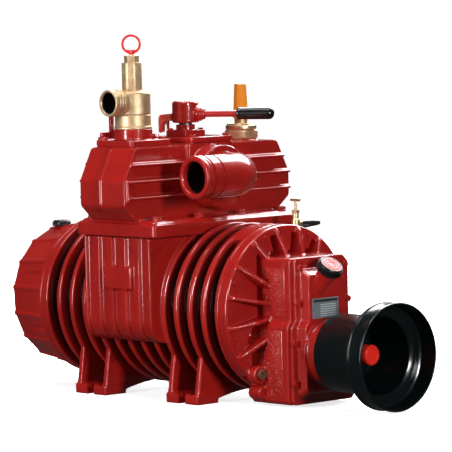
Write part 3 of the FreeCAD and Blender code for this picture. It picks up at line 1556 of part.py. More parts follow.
os.makedirs("parts", exist_ok=True)
for name, shape in parts.items():
    if not shape.isValid() or not shape.Solids:
        print("check", name, shape.isValid(), len(shape.Solids))
    shape.exportStep("parts/" + name + ".step")
print(len(parts), "parts")
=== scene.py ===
"""Dressed model of a finned rotary vane vacuum pump, built in the frame of its CAD model.

Sizes are millimetres in the row frame: +X runs along the shafts to the drive end, +Y to the
far side and +Z up. Meshes are written in metres.
"""
import json
import logging
import math
from dataclasses import dataclass, replace
from enum import Enum
from functools import cache
from typing import Any, Sequence

import bpy
import bmesh
from mathutils import Matrix, Vector


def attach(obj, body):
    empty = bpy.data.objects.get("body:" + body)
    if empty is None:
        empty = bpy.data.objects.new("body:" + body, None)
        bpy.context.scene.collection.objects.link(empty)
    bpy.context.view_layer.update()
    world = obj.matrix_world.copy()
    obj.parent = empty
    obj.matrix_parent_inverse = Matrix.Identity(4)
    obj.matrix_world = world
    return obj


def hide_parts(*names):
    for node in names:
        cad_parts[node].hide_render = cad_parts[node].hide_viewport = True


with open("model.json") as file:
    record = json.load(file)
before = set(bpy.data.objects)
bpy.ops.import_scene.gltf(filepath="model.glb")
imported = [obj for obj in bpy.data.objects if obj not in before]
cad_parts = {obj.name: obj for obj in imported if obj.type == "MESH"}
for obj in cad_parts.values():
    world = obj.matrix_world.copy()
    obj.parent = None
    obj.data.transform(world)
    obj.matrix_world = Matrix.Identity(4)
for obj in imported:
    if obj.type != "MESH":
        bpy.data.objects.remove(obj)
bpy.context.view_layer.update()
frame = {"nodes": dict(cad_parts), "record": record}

MM = 0.001
LOG = logging.getLogger("vacuum_pump")
BARREL_AXIS, DRIVE_AXIS = 193.0, 111.6
# Colour of the painted shade deep in the gaps between the fins.
FIN_GAP_SHADE = "#1C0201"
# Spans of noise for the cloudy tone, for painted glints on the grain's tops, and for gloss.
CLOUD_SPAN, GLINT_SPAN, GLOSS_SPAN = (0.35, 0.65), (0.56, 0.74), (0.3, 0.7)
CAST_SHARP, BOLT_SHARP = 50.0, 28.0
SIDES = (-1, 1)
UP = (0.0, 0.0, 1.0)

Pair = tuple[float, float]
Point = Sequence[float]
Ring = list[Vector]
Station = tuple[Vector, Vector, float]
Thing = bpy.types.Object


class Axis(Enum):
    """Direction that a turned or extruded form runs along."""

    X = 0
    Y = 1
    Z = 2


class Body(Enum):
    """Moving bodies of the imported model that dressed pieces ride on."""

    PUMP = "pump"
    PTO_CAP = "pto_cap"
    CHANGEOVER = "changeover"
    RELIEF = "relief"
    VACUUM_KNOB = "vacuum_knob"
    COCK_HANDLE = "cock_handle"
    GEAR_OIL_CAP = "gear_oil_cap"
    OIL_TANK_CAP = "oil_tank_cap"


# ---------------------------------------------------------------- nodes and colours


def add_node(tree: bpy.types.NodeTree, kind: str, feeds: dict[str | int, Any] | None = None,
             **settings: Any) -> bpy.types.Node:
    """Add a node, set its properties, and link or set its inputs.

    Args:
        tree: Node tree that the node goes into.
        kind: Blender's type name of the node.
        feeds: Inputs by name or number, each a socket to link or a value to set.
        settings: Properties of the node, by name.

    Returns:
        The new node.
    """
    node = tree.nodes.new(kind)
    for name, value in settings.items():
        setattr(node, name, value)
    for key, value in (feeds or {}).items():
        if isinstance(value, bpy.types.NodeSocket):
            tree.links.new(value, node.inputs[key])
        else:
            node.inputs[key].default_value = value
    return node


def blended(tree: bpy.types.NodeTree, value: bpy.types.NodeSocket, span: Point, first: Any,
            second: Any) -> bpy.types.NodeSocket:
    """Mix two colours by where a value lies in a span.

    Args:
        tree: Material's node tree.
        value: Value that decides.
        span: Values where the mix is all first and all second.
        first: Colour or socket below the span.
        second: Colour or socket above it.

    Returns:
        Socket of the mixed colour.
    """
    share = add_node(tree, "ShaderNodeMapRange", {"Value": value, "From Min": span[0],
                                                  "From Max": span[1]})
    return add_node(tree, "ShaderNodeMix", {"Factor": share.outputs["Result"], "A": first,
                                            "B": second}, data_type="RGBA").outputs["Result"]


def linear(code: str) -> tuple[float, float, float, float]:
    """Linear RGBA of an sRGB hex colour."""
    parts = [int(code[k:k + 2], 16) / 255 for k in (1, 3, 5)]
    return (*(c / 12.92 if c <= 0.04045 else ((c + 0.055) / 1.055) ** 2.4 for c in parts), 1.0)


@dataclass(frozen=True)
class Finish:
    """One real surface: its colours, its gloss and the relief that its making leaves.

    The two colours are mixed by broad cloudy noise. Grain is the finer relief of the surface
    under the coat, and peel the slow waves of the coat or of the moulding. Painted shade
    darkens it between two radii about the barrel's axis, for the shade deep between the fins,
    and painted glints lighten the tops of the grain.
    """

    name: str
    slot: str
    colour: str
    shade: str
    roughness: float
    metallic: float = 0.0
    ior: float = 1.5
    coat: float = 0.0
    coat_roughness: float = 0.05
    cloud: float = 60.0
    grain: float = 1.5
    grain_depth: float = 0.0
    peel: float = 12.0
    peel_depth: float = 0.0
    spread: float = 0.0
    transmission: float = 0.0
    streaks: tuple[float, ...] = ()
    # Radii about the barrel's axis between which painted shade darkens the colour.
    painted_shade: Pair | None = None
    # Colour of painted glints on the tops of the grain.
    painted_glint: str = ""

    def colours(self, tree: bpy.types.NodeTree, place: bpy.types.NodeSocket,
                cloud: bpy.types.NodeSocket,
                grain: bpy.types.NodeSocket) -> bpy.types.NodeSocket:
        """Mix the colours of the surface.

        Args:
            tree: Material's node tree.
            place: Object coordinates.
            cloud: Broad noise.
            grain: Fine noise.

        Returns:
            Socket of the colour.
        """
        colour = blended(tree, cloud, CLOUD_SPAN, linear(self.shade), linear(self.colour))
        # Painted shade: darker between two radii about the barrel's axis, deep between the
        # fins.
        if self.painted_shade:
            across = add_node(tree, "ShaderNodeVectorMath", {
                0: place, 1: (0.0, 1.0, 1.0), 2: (0.0, 0.0, -BARREL_AXIS * MM)},
                operation="MULTIPLY_ADD")
            radius = add_node(tree, "ShaderNodeVectorMath", {0: across.outputs[0]},
                              operation="LENGTH").outputs["Value"]
            colour = blended(tree, radius, [r * MM for r in self.painted_shade], linear(FIN_GAP_SHADE), colour)
        # Painted glints: the tops of the grain made lighter.
        if self.painted_glint:
            colour = blended(tree, grain, GLINT_SPAN, colour, linear(self.painted_glint))
        return colour

    @cache
    def material(self) -> bpy.types.Material:
        """Build the node material, the first time that it is asked for.

        Returns:
            The material, which reads Object coordinates only.
        """
        material = bpy.data.materials.new(self.name)
        material.use_nodes = True
        tree = material.node_tree
        tree.nodes.clear()
        place = add_node(tree, "ShaderNodeTexCoord").outputs["Object"]
        if self.streaks:
            place = add_node(tree, "ShaderNodeMapping", {
                "Vector": place, "Scale": self.streaks}, vector_type="POINT").outputs["Vector"]
        cloud, grain, peel = (add_node(tree, "ShaderNodeTexNoise", {
            "Vector": place, "Scale": 1 / (size * MM), "Detail": detail, "Roughness": rough,
        }).outputs["Fac"] for size, detail, rough in (
            (self.cloud, 4.0, 0.6), (self.grain, 3.0, 0.55), (self.peel, 2.0, 0.45)))
        gloss = add_node(tree, "ShaderNodeMapRange", {
            "Value": grain, "From Min": GLOSS_SPAN[0], "From Max": GLOSS_SPAN[1],
            "To Min": max(self.roughness - self.spread, 0.02),
            "To Max": self.roughness + self.spread})
        waves = add_node(tree, "ShaderNodeBump", {
            "Height": peel, "Strength": 1.0, "Distance": self.peel_depth * MM})
        relief = add_node(tree, "ShaderNodeBump", {
            "Height": grain, "Strength": 1.0, "Distance": self.grain_depth * MM,
            "Normal": waves.outputs["Normal"]})
        surface = add_node(tree, "ShaderNodeBsdfPrincipled", {
            "Base Color": self.colours(tree, place, cloud, grain),
            "Roughness": gloss.outputs["Result"], "Metallic": self.metallic, "IOR": self.ior,
            "Coat Weight": self.coat, "Coat Roughness": self.coat_roughness,
            "Transmission Weight": self.transmission, "Normal": relief.outputs["Normal"]})
        if self.coat:
            tree.links.new(waves.outputs["Normal"], surface.inputs["Coat Normal"])
        add_node(tree, "ShaderNodeOutputMaterial", {"Surface": surface.outputs["BSDF"]})
        return material


# Gloss alkyd enamel, brushed thick on a sand casting: a wet coat over the sand's grain.
RED_ENAMEL = Finish("gloss enamel on cast iron", "red_enamel", "#A81912", "#981410", 0.4,
                    ior=1.3, coat=1.0, coat_roughness=0.07, cloud=70, grain=2.4,
                    grain_depth=0.16, peel=6, peel_depth=0.22, spread=0.06)
# The enamel on the finned barrel, with painted shade darkening the gaps between the fins.
FIN_ENAMEL = replace(RED_ENAMEL, name="gloss enamel with dust between fins",
                     painted_shade=(152.0, 170.0))
# The same enamel over the coarse sand skin of the gear case, where the grain shows through;
# painted glints lighten the tops of the grain.
GRAINY_ENAMEL = replace(RED_ENAMEL, name="gloss enamel on coarse sand skin", colour="#A61A14",
                        shade="#921510", coat_roughness=0.12, cloud=40, grain=4.2,
                        grain_depth=1.5, peel=4, peel_depth=0.4, spread=0.1, painted_glint="#D0645C")
# Injection moulded nylon, dyed through: a clean satin shine.
RED_NYLON = Finish("moulded red nylon", "bright_red_plastic", "#E8252B", "#DE1F26", 0.3,
                   ior=1.53, grain=3, grain_depth=0.02, peel=10, peel_depth=0.04)
CAP_NYLON = replace(RED_NYLON, name="moulded scarlet nylon", colour="#F22F20",
                    shade="#E8281A")
ORANGE_NYLON = replace(RED_NYLON, name="moulded orange nylon", slot="orange_plastic",
                       colour="#EC8F1C", shade="#E48512", roughness=0.32)
# Blow moulded polyethylene: black, glossy, with soft waves from the mould. The slight teal in
# its black is a painted reflection.
BLACK_GUARD = Finish("glossy black polyethylene", "black_plastic", "#091212", "#060D0E", 0.2,
                     ior=1.51, grain=4, grain_depth=0.02, peel=30, peel_depth=0.12,
                     spread=0.04)
BLACK_PLASTIC = Finish("moulded black nylon", "black_plastic", "#111213", "#0C0D0E", 0.3,
                       ior=1.53, grain=1.2, grain_depth=0.03, spread=0.05)
BLACK_VINYL = Finish("dipped black vinyl", "black_plastic", "#0E0F10", "#0B0B0C", 0.22,
                     grain=4, grain_depth=0.03, peel=9, peel_depth=0.08, spread=0.05)
BLACK_RUBBER = Finish("extruded black rubber", "black_rubber", "#232C2A", "#1A2120", 0.4,
                      grain=0.8, grain_depth=0.03, spread=0.08)
# Sand cast brass, tumbled: dull tan skin with darker pools.
CAST_BRASS = Finish("tumbled cast brass", "cast_brass", "#E2C6A0", "#CDAA80", 0.5,
                    metallic=0.85, cloud=16, grain=1.3, grain_depth=0.12, peel=6,
                    peel_depth=0.1, spread=0.1)
# Brass turned on a lathe: brighter, with fine rings round its axis.
TURNED_BRASS = Finish("turned brass", "cast_brass", "#E6CBA2", "#D4B186", 0.38, metallic=0.9,
                      cloud=12, grain=2.0, grain_depth=0.03, spread=0.08,
                      streaks=(0.25, 0.25, 3.0))
ZINC_STEEL = Finish("zinc plated steel", "zinc_steel", "#B9B59C", "#9C9A7F", 0.3,
                    metallic=1.0, cloud=8, grain=1.0, grain_depth=0.03, spread=0.1)
MACHINED_STEEL = Finish("machined steel", "machined_steel", "#A9ABAD", "#8E9092", 0.3,
                        metallic=1.0, cloud=20, grain=1.0, grain_depth=0.02, spread=0.08)
BARE_IRON = Finish("machined cast iron", "cast_iron", "#6E6E6C", "#5A5A59", 0.45,
                   metallic=1.0, cloud=25, grain=1.0, grain_depth=0.04, spread=0.1)
ALUMINIUM = Finish("brushed aluminium plate", "aluminium_plate", "#93A1A3", "#86979A", 0.42,
                   metallic=0.6, cloud=15, grain=0.8, grain_depth=0.02, spread=0.08,
                   streaks=(1.0, 0.06, 1.0))
VANE_BOARD = Finish("woven aramid board", "vane_laminate", "#8F6B33", "#7B5A2A", 0.55,
                    cloud=6, grain=1.2, grain_depth=0.05)
# The inside of ports: a near-black lining, from a little way inside the mouth.
DARK_BORE_LINING = Finish("oily unpainted bore", "cast_iron", "#0B0706", "#060404", 0.55, cloud=12,
                   grain=1.2, grain_depth=0.05)
GASKET_PAPER = Finish("oiled gasket paper", "gasket_paper", "#3B2F26", "#2E251E", 0.7,
                      cloud=10, grain=0.9, grain_depth=0.05)
# Ink on a plate and on a cap: flat colour with no relief of its own.
PLATE_INK = Finish("black plate ink", "black_plastic", "#23282A", "#1D2224", 0.45)
PLATE_FIELD = Finish("bare blank fields", "aluminium_plate", "#D3DBDC", "#C6CFD1", 0.4)
PINK_DISC = Finish("faded red cap disc", "bright_red_plastic", "#DE5E56", "#D8504A", 0.45,
                   cloud=10)
CLEAR_ACRYLIC = Finish("clear acrylic over oil", "sight_glass", "#C9A45A", "#B98F45", 0.05,
                       ior=1.49, transmission=0.6, cloud=20)

CAD_FINISHES = {finish.slot: finish for finish in (
    RED_ENAMEL, RED_NYLON, BLACK_PLASTIC, BLACK_RUBBER, ORANGE_NYLON, CAST_BRASS,
    MACHINED_STEEL, ZINC_STEEL, BARE_IRON, ALUMINIUM, VANE_BOARD, GASKET_PAPER, CLEAR_ACRYLIC)}


# ---------------------------------------------------------------- outlines


def around(count: int) -> list[float]:
    """Equal steps of angle once round."""
    return [2 * math.pi * k / count for k in range(count)]


def rounded(points: Sequence[Pair], radius: float, steps: int = 3,
            closed: bool = False) -> list[Pair]:
    """Round the corners of a line of points.

    Args:
        points: Corners of the line, as pairs.
        radius: Radius of the rounding, less where a side is short.
        steps: Points that each rounding gets, less one.
        closed: Whether the line joins up with its start.

    Returns:
        The new line.
    """
    count = len(points)
    line: list[Pair] = []
    for k, here in enumerate(points):
        if not closed and k in (0, count - 1):
            line.append(here)
            continue
        corner = Vector(here)
        before = Vector(points[k - 1]) - corner
        after = Vector(points[(k + 1) % count]) - corner
        if before.length < 1e-6 or after.length < 1e-6:
            continue
        half = before.angle(after) / 2
        if abs(math.cos(half)) < 0.02:
            line.append(here)
            continue
        reach = min(radius / math.tan(half), before.length * 0.48, after.length * 0.48)
        start = corner + before.normalized() * reach
        end = corner + after.normalized() * reach
        for step in range(steps + 1):
            t = step / steps
            line.append(tuple(start * (1 - t) ** 2 + corner * 2 * t * (1 - t) + end * t ** 2))
    return line


def rectangle(x0: float, x1: float, y0: float, y1: float, radius: float) -> list[Pair]:
    """Rectangle with rounded corners, as pairs."""
    return rounded([(x0, y0), (x1, y0), (x1, y1), (x0, y1)], radius, 5, closed=True)


def many_sided(sides: int, flat: float, phase: float = 0.0, count: int = 96,
               limit: float = math.inf, centre: Pair = (0, 0), turn: float = 0.0) -> list[Pair]:
    """Outline of a regular polygon, sampled at equal angles.

    Args:
        sides: Count of its sides.
        flat: Distance of a side from the centre.
        phase: Angle of its first corner.
        count: Count of the samples.
        limit: Radius that its corners are turned down to.
        centre: Its centre.
        turn: Angle that the samples are turned by together.

    Returns:
        The outline, as pairs.
    """
    step = 2 * math.pi / sides
    line = []
    for t in around(count):
        reach = min(flat / math.cos((t - phase) % step - step / 2), limit)
        line.append((centre[0] + reach * math.cos(t + turn),
                     centre[1] + reach * math.sin(t + turn)))
    return line


def case_outline(top_half: float, low_half: float, margin: float, far: float = 0.0,
                 drop: float = 0.0) -> list[Pair]:
    """Outline of the gear case seen along X.

    Args:
        top_half: Half of its width above the step.
        low_half: Half of its width below the step.
        margin: How far it is drawn in at top and bottom.
        far: How much further it reaches on the far side.
        drop: How much lower its top lies.

    Returns:
        The corners, from the near bottom round.
    """
    top, bottom, step, chamfer, corner = 304 - margin - drop, 6 + margin, 176.0, 14.0, 4.7
    slope = low_half - top_half
    return [(-low_half + 7, bottom), (low_half + far - 7, bottom),
            (low_half + far, bottom + 7), (low_half + far, step - slope),
            (top_half + far, step), (top_half + far, top - chamfer),
            (top_half + far - chamfer, top), (-top_half + corner, top),
            (-top_half, top - corner), (-top_half, step), (-low_half, step - slope),
            (-low_half, bottom + 7)]


def placed(axis: Axis, along: float, a: float, b: float) -> Vector:
    """Point from its place along an axis and its two cross coordinates."""
    spot, n = (along, a, b), axis.value
    return Vector(spot[-n:] + spot[:-n]) if n else Vector(spot)


def section_ring(x: float, outline: Sequence[Pair]) -> Ring:
    """Ring of points at a place along X, from pairs of Y and Z."""
    return [Vector((x, y, z)) for y, z in outline]


def circle_seats(x: float, radius: float, count: int, phase: float,
                 height: float) -> list[Vector]:
    """Seat points on a circle about a line along X."""
    angles = (math.radians(phase) + t for t in around(count))
    return [Vector((x, radius * math.cos(t), height + radius * math.sin(t))) for t in angles]


def corner_seats(x: float, y: float, dx: float, dy: float, z: float) -> list[Vector]:
    """Seat points at the four corners of a rectangle."""
    return [Vector((x + i * dx, y + j * dy, z)) for i in SIDES for j in SIDES]


# ---------------------------------------------------------------- mesh building


def linked(name: str, data: bpy.types.ID) -> Thing:
    """New object in the scene that holds the data."""
    made = bpy.data.objects.new(name, data)
    bpy.context.scene.collection.objects.link(made)
    return made


class Shell:
    """Closed surfaces gathered for one piece, in millimetres in the row frame."""

    def __init__(self) -> None:
        """Start with nothing."""
        self.points: list[Vector] = []
        self.faces: list[tuple[int, ...]] = []

    def loft(self, rings: Sequence[Ring], ring_shaped: bool = False) -> "Shell":
        """Skin rings of equal count, with flat ends unless the last meets the first."""
        base, count, last = len(self.points), len(rings[0]), len(rings) - 1
        for ring in rings:
            self.points.extend(ring)
        for k in range(last + ring_shaped):
            a, b = base + k * count, base + (k + 1) % (last + 1) * count
            self.faces += [(a + j, a + (j + 1) % count, b + (j + 1) % count, b + j)
                           for j in range(count)]
        if not ring_shaped:
            self.faces.append(tuple(base + j for j in reversed(range(count))))
            self.faces.append(tuple(base + last * count + j for j in range(count)))
        return self

    def prism(self, outline: Sequence[Pair], axis: Axis, low: float, high: float,
              edge: float = 0.0) -> "Shell":
        """Extrude an outline along an axis, its end edges drawn in by a chamfer."""
        flat = [Vector(p) for p in outline]
        centre = sum(flat, Vector((0, 0))) / len(flat)
        inner = [p + (centre - p).normalized() * edge for p in flat]
        stations = [(low, inner), (low + edge, flat), (high - edge, flat), (high, inner)]
        return self.loft([[placed(axis, s, p.x, p.y) for p in line]
                          for s, line in (stations if edge else stations[::3])])

    def block(self, corner: Point, other: Point) -> "Shell":
        """Square block between two corners."""
        (x0, x1), (y0, y1), (z0, z1) = (sorted(pair) for pair in zip(corner, other))
        return self.prism([(x0, y0), (x1, y0), (x1, y1), (x0, y1)], Axis.Z, z0, z1)

    def lathe(self, profile: Sequence[Pair], axis: Axis, centre: Pair = (0, 0),
              turns: int = 96) -> "Shell":
        """Turn a profile of place and radius about a line, solid if it starts on the line."""
        return self.loft([[placed(axis, along, centre[0] + radius * math.cos(t),
                                  centre[1] + radius * math.sin(t)) for t in around(turns)]
                          for along, radius in profile if radius > 0],
                         ring_shaped=profile[0][1] > 0 and profile[-1][1] > 0)

    def drum(self, low: float, high: float, radius: float, axis: Axis,
             centre: Pair = (0, 0), turns: int = 96) -> "Shell":
        """Plain cylinder about a line along an axis."""
        return self.lathe([(low, 0), (low, radius), (high, radius), (high, 0)], axis, centre,
                          turns)

    def sweep(self, stations: Sequence[Station], up: Vector, turns: int = 64,
              ring_shaped: bool = False) -> "Shell":
        """Skin circles, each set at a point square to a way, with one side held towards up."""
        rings = []
        for spot, way, radius in stations:
            side = up.cross(way).normalized()
            other = way.cross(side).normalized()
            rings.append([spot + (side * math.cos(t) + other * math.sin(t)) * radius
                          for t in around(turns)])
        return self.loft(rings, ring_shaped)

    def rod(self, radius: float, start: Point, end: Point, turns: int = 48, edge: float = 0.0,
            end_radius: float | None = None) -> "Shell":
        """Round bar between two points, its ends chamfered, narrowing if asked."""
        first, last = Vector(start), Vector(end)
        way = (last - first).normalized()
        side = way.orthogonal().normalized()
        other = way.cross(side)
        far = radius if end_radius is None else end_radius
        stations = [(first, radius - edge), (first + way * edge, radius),
                    (last - way * edge, far), (last, far - edge)]
        return self.loft([[spot + (side * math.cos(t) + other * math.sin(t)) * r
                           for t in around(turns)]
                          for spot, r in (stations if edge else stations[::3])])

    def hexagon(self, flats: float, low: float, high: float, turn: float = 0.0,
                centre: Pair = (0, 0), both: bool = False) -> "Shell":
        """Hexagon along Z with its ends turned to a chamfer, as on a bolt head or a nut.

        Args:
            flats: Width across its flats.
            low: Height of its foot.
            high: Height of its top.
            turn: Angle that it is turned by.
            centre: Its axis.
            both: Whether the foot is chamfered too.

        Returns:
            This shell.
        """
        corner, top = flats / 2 / math.cos(math.pi / 6), high - low
        cut = (corner - flats / 2) * 0.6
        ends = [(0.0, flats / 2 * 0.97), (cut * 0.5, corner - cut), (cut, corner)]
        stations = ends if both else [(0.0, corner)]
        stations = stations + [(top - z, limit) for z, limit in reversed(ends)]
        return self.loft([[placed(Axis.Z, low + z, *p) for p in many_sided(
            6, flats / 2, -math.pi / 6, 48, limit, centre, turn)] for z, limit in stations])

    def take(self, piece: Thing) -> "Shell":
        """Add the mesh of a piece, and delete the piece."""
        base = len(self.points)
        self.points.extend(v.co / MM for v in piece.data.vertices)
        self.faces.extend(tuple(base + i for i in f.vertices) for f in piece.data.polygons)
        bpy.data.objects.remove(piece)
        return self

    def turned(self, angle: float, axis: Axis, centre: Point = (0, 0, 0),
               first: int = 0) -> "Shell":
        """Turn the points from the first one on about a line, in degrees."""
        shift = Matrix.Translation(centre)
        turn = shift @ Matrix.Rotation(math.radians(angle), 4, axis.name) @ shift.inverted()
        self.points[first:] = [turn @ p for p in self.points[first:]]
        return self

    def piece(self, name: str) -> Thing:
        """Mesh object of the shells, in metres, with all faces outwards."""
        mesh = bpy.data.meshes.new(name)
        mesh.from_pydata([p * MM for p in self.points], [], self.faces)
        made = bmesh.new()
        made.from_mesh(mesh)
        bmesh.ops.recalc_face_normals(made, faces=made.faces)
        made.to_mesh(mesh)
        made.free()
        return linked(name, mesh)


def settle(piece: Thing) -> Thing:
    """Make a piece's modifiers its plain mesh."""
    graph = bpy.context.evaluated_depsgraph_get()
    mesh = bpy.data.meshes.new_from_object(piece.evaluated_get(graph))
    piece.modifiers.clear()
    piece.data = mesh
    return piece


def changed(piece: Thing, kind: str, **settings: Any) -> Thing:
    """Run one modifier with its settings on a piece, and make the result its mesh."""
    modifier = piece.modifiers.new(kind.lower(), kind)
    for name, value in settings.items():
        setattr(modifier, name, value)
    return settle(piece)


def poured(shell: Shell, name: str, grain: float, rounds: int, keep: float = 1.0) -> Thing:
    """Run overlapping shells into one casting with soft edges and filled corners.

    Args:
        shell: The overlapping closed shells.
        name: Name of the casting.
        grain: Size of the cells that the new surface is drawn with.
        rounds: How often the new surface is smoothed.
        keep: Share of the faces that is kept.

    Returns:
        The casting.
    """
    piece = changed(shell.piece(name), "REMESH", mode="VOXEL", voxel_size=grain * MM)
    changed(piece, "SMOOTH", factor=0.5, iterations=rounds)
    return changed(piece, "DECIMATE", ratio=keep) if keep < 1 else piece


def bored(piece: Thing, cutter: Shell) -> Thing:
    """Cut the shells of a cutter out of a piece, as a machine tool would."""
    tool = cutter.piece("cutter")
    changed(piece, "BOOLEAN", object=tool, solver="MANIFOLD")
    bpy.data.objects.remove(tool)
    return piece


def eased(piece: Thing, width: float, steps: int = 2, angle: float = 30.0) -> Thing:
    """Round a piece's edges that are sharper than an angle, by a width."""
    return changed(piece, "BEVEL", width=width * MM, segments=steps, limit_method="ANGLE",
                   angle_limit=math.radians(angle), use_clamp_overlap=True)


def moved(piece: Thing, way: Matrix) -> Thing:
    """Move a piece's mesh by a matrix in millimetres, leaving the object at the origin."""
    piece.data.transform(Matrix.Scale(MM, 4) @ way @ Matrix.Scale(1 / MM, 4))
    return piece


def finished(piece: Thing, finish: Finish, *stands_for: str, body: Body = Body.PUMP,
             slot: str = "", sharp: float = 38.0) -> None:
    """Shade a piece, give it its finish, and set it in the frame.

    Args:
        piece: The piece.
        finish: Finish of its whole surface.
        stands_for: CAD nodes that it stands for.
        body: Moving body that it rides on.
        slot: Not used.
        sharp: Angle in degrees above which an edge stays crisp.
    """
    piece.data.shade_smooth()
    piece.data.set_sharp_from_angle(angle=math.radians(sharp))
    piece.data.materials.clear()
    piece.data.materials.append(finish.material())
    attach(piece, body.value)
    if stands_for:
        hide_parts(*stands_for)
    LOG.info("%s: %d faces", piece.name, len(piece.data.polygons))


# ---------------------------------------------------------------- repeats


class Repeats:
    """One geometry tree that sets out all that repeats.

    It copies a pattern onto the points that it is given and onto a line of its own. Each copy
    faces a way, and turns about an axis by a phase and by a step for its number.
    """

    @staticmethod
    @cache
    def tree() -> bpy.types.NodeTree:
        """Make the tree, the first time that it is asked for.

        Returns:
            The tree, which ends in Realize Instances and Set Material.
        """
        tree = bpy.data.node_groups.new("copies of a pattern", "GeometryNodeTree")
        for label, kind in (("Geometry", "Geometry"), ("Pattern", "Object"), ("Count", "Int"),
                            ("Start", "Vector"), ("Step", "Vector"), ("Facing", "Vector"),
                            ("Axis", "Vector"), ("Phase", "Float"), ("Turn", "Float"),
                            ("Material", "Material")):
            tree.interface.new_socket(label, in_out="INPUT", socket_type="NodeSocket" + kind)
        tree.interface.new_socket("Geometry", in_out="OUTPUT",
                                  socket_type="NodeSocketGeometry")
        given = add_node(tree, "NodeGroupInput").outputs
        pattern = add_node(tree, "GeometryNodeObjectInfo", {"Object": given["Pattern"]})
        line = add_node(tree, "GeometryNodeMeshLine", {
            "Count": given["Count"], "Start Location": given["Start"],
            "Offset": given["Step"]}, mode="OFFSET")
        points = add_node(tree, "GeometryNodeJoinGeometry", {0: given["Geometry"]})
        tree.links.new(line.outputs["Mesh"], points.inputs[0])
        facing = add_node(tree, "FunctionNodeAlignRotationToVector",
                          {"Vector": given["Facing"]}, axis="Z")
        angle = add_node(tree, "ShaderNodeMath", {
            0: add_node(tree, "GeometryNodeInputIndex").outputs[0], 1: given["Turn"],
            2: given["Phase"]}, operation="MULTIPLY_ADD")
        twist = add_node(tree, "FunctionNodeAxisAngleToRotation",
                         {"Axis": given["Axis"], "Angle": angle.outputs[0]})
        way = add_node(tree, "FunctionNodeRotateRotation", {
            "Rotation": facing.outputs[0], "Rotate By": twist.outputs[0]},
            rotation_space="LOCAL")
        copies = add_node(tree, "GeometryNodeInstanceOnPoints", {
            "Points": points.outputs[0], "Instance": pattern.outputs["Geometry"],
            "Rotation": way.outputs[0]})
        real = add_node(tree, "GeometryNodeRealizeInstances", {"Geometry": copies.outputs[0]})
        painted = add_node(tree, "GeometryNodeSetMaterial", {
            "Geometry": real.outputs[0], "Material": given["Material"]})
        add_node(tree, "NodeGroupOutput", {"Geometry": painted.outputs[0]})
        return tree

    @classmethod
    def grown(cls, name: str, pattern: Shell, finish: Finish, seats: Sequence[Vector] = (),
              **values: Any) -> Thing:
        """Run the tree and keep what it makes as a plain mesh.

        Args:
            name: Name of the new piece.
            pattern: Form that is copied.
            finish: Finish that the tree sets.
            seats: Points that the tree is given.
            values: Values of the tree's inputs that differ from none, by their names.

        Returns:
            The piece.
        """
        model = pattern.piece("pattern")
        piece = linked(name, bpy.data.meshes.new(name))
        piece.data.from_pydata([p * MM for p in seats], [], [])
        modifier = piece.modifiers.new("grow", "NODES")
        modifier.node_group = cls.tree()
        values = {"Count": 0, "Start": [0.0] * 3, "Step": [0.0] * 3, "Facing": list(UP),
                  "Axis": list(UP), "Phase": 0.0, "Turn": 0.0, "Pattern": model,
                  "Material": finish.material(), **values}
        for item in cls.tree().interface.items_tree:
            if item.item_type == "SOCKET" and item.in_out == "INPUT" and item.name in values:
                modifier[item.identifier] = values[item.name]
        settle(piece)
        bpy.data.objects.remove(model)
        return piece

    @classmethod
    def row(cls, name: str, pattern: Shell, count: int, start: Point, step: Point,
            finish: Finish = RED_ENAMEL) -> Thing:
        """Copies of a pattern, a step apart."""
        return cls.grown(name, pattern, finish, Count=count, Start=[v * MM for v in start],
                         Step=[v * MM for v in step])

    @classmethod
    def wheel(cls, name: str, pattern: Shell, count: int, axis: Axis, phase: float,
              centre: Point, finish: Finish = RED_ENAMEL) -> Thing:
        """Copies of a pattern, drawn about the origin, round an axis through a centre."""
        return cls.grown(name, pattern, finish, Count=count, Turn=2 * math.pi / count,
                         Phase=math.radians(phase), Axis=[float(axis is a) for a in Axis],
                         Start=[v * MM for v in centre])

    @classmethod
    def seats(cls, name: str, pattern: Shell, seats: Sequence[Vector],
              facing: Point) -> Thing:
        """Copies of a pattern, drawn up from the origin, one on each seat."""
        return cls.grown(name, pattern, RED_ENAMEL, seats, Turn=math.radians(23.0),
                         Facing=[float(v) for v in facing])


@dataclass(frozen=True)
class BoltSize:
    """Sizes of a hexagon screw: flats, head height and washer."""

    flats: float
    head: float
    washer_radius: float = 0.0
    washer: float = 1.6

    def head_shell(self) -> Shell:
        """Head and washer face, standing up from the origin."""
        rim, top = self.washer_radius or self.flats * 0.53, self.washer
        return Shell().hexagon(self.flats, 0.0, self.head).lathe(
            [(-0.5, 0), (-0.5, rim), (top - 0.4, rim), (top, rim - 0.5), (top, 0)], Axis.Z,
            turns=32)


M6 = BoltSize(10.0, 4.0)
M8 = BoltSize(13.0, 5.5)
M12 = BoltSize(19.0, 8.0, 11.5)


def bolted(name: str, size: BoltSize, seats: Sequence[Vector], facing: Point,
           node: str) -> None:
    """Fit enamelled screws.

    Args:
        name: Name of the piece that they make up.
        size: Their size.
        seats: Where they stand.
        facing: Way that their heads face.
        node: CAD node that they stand for.
    """
    finished(Repeats.seats(name, size.head_shell(), seats, facing), RED_ENAMEL, node,
             sharp=BOLT_SHARP)


# ---------------------------------------------------------------- sub-assemblies


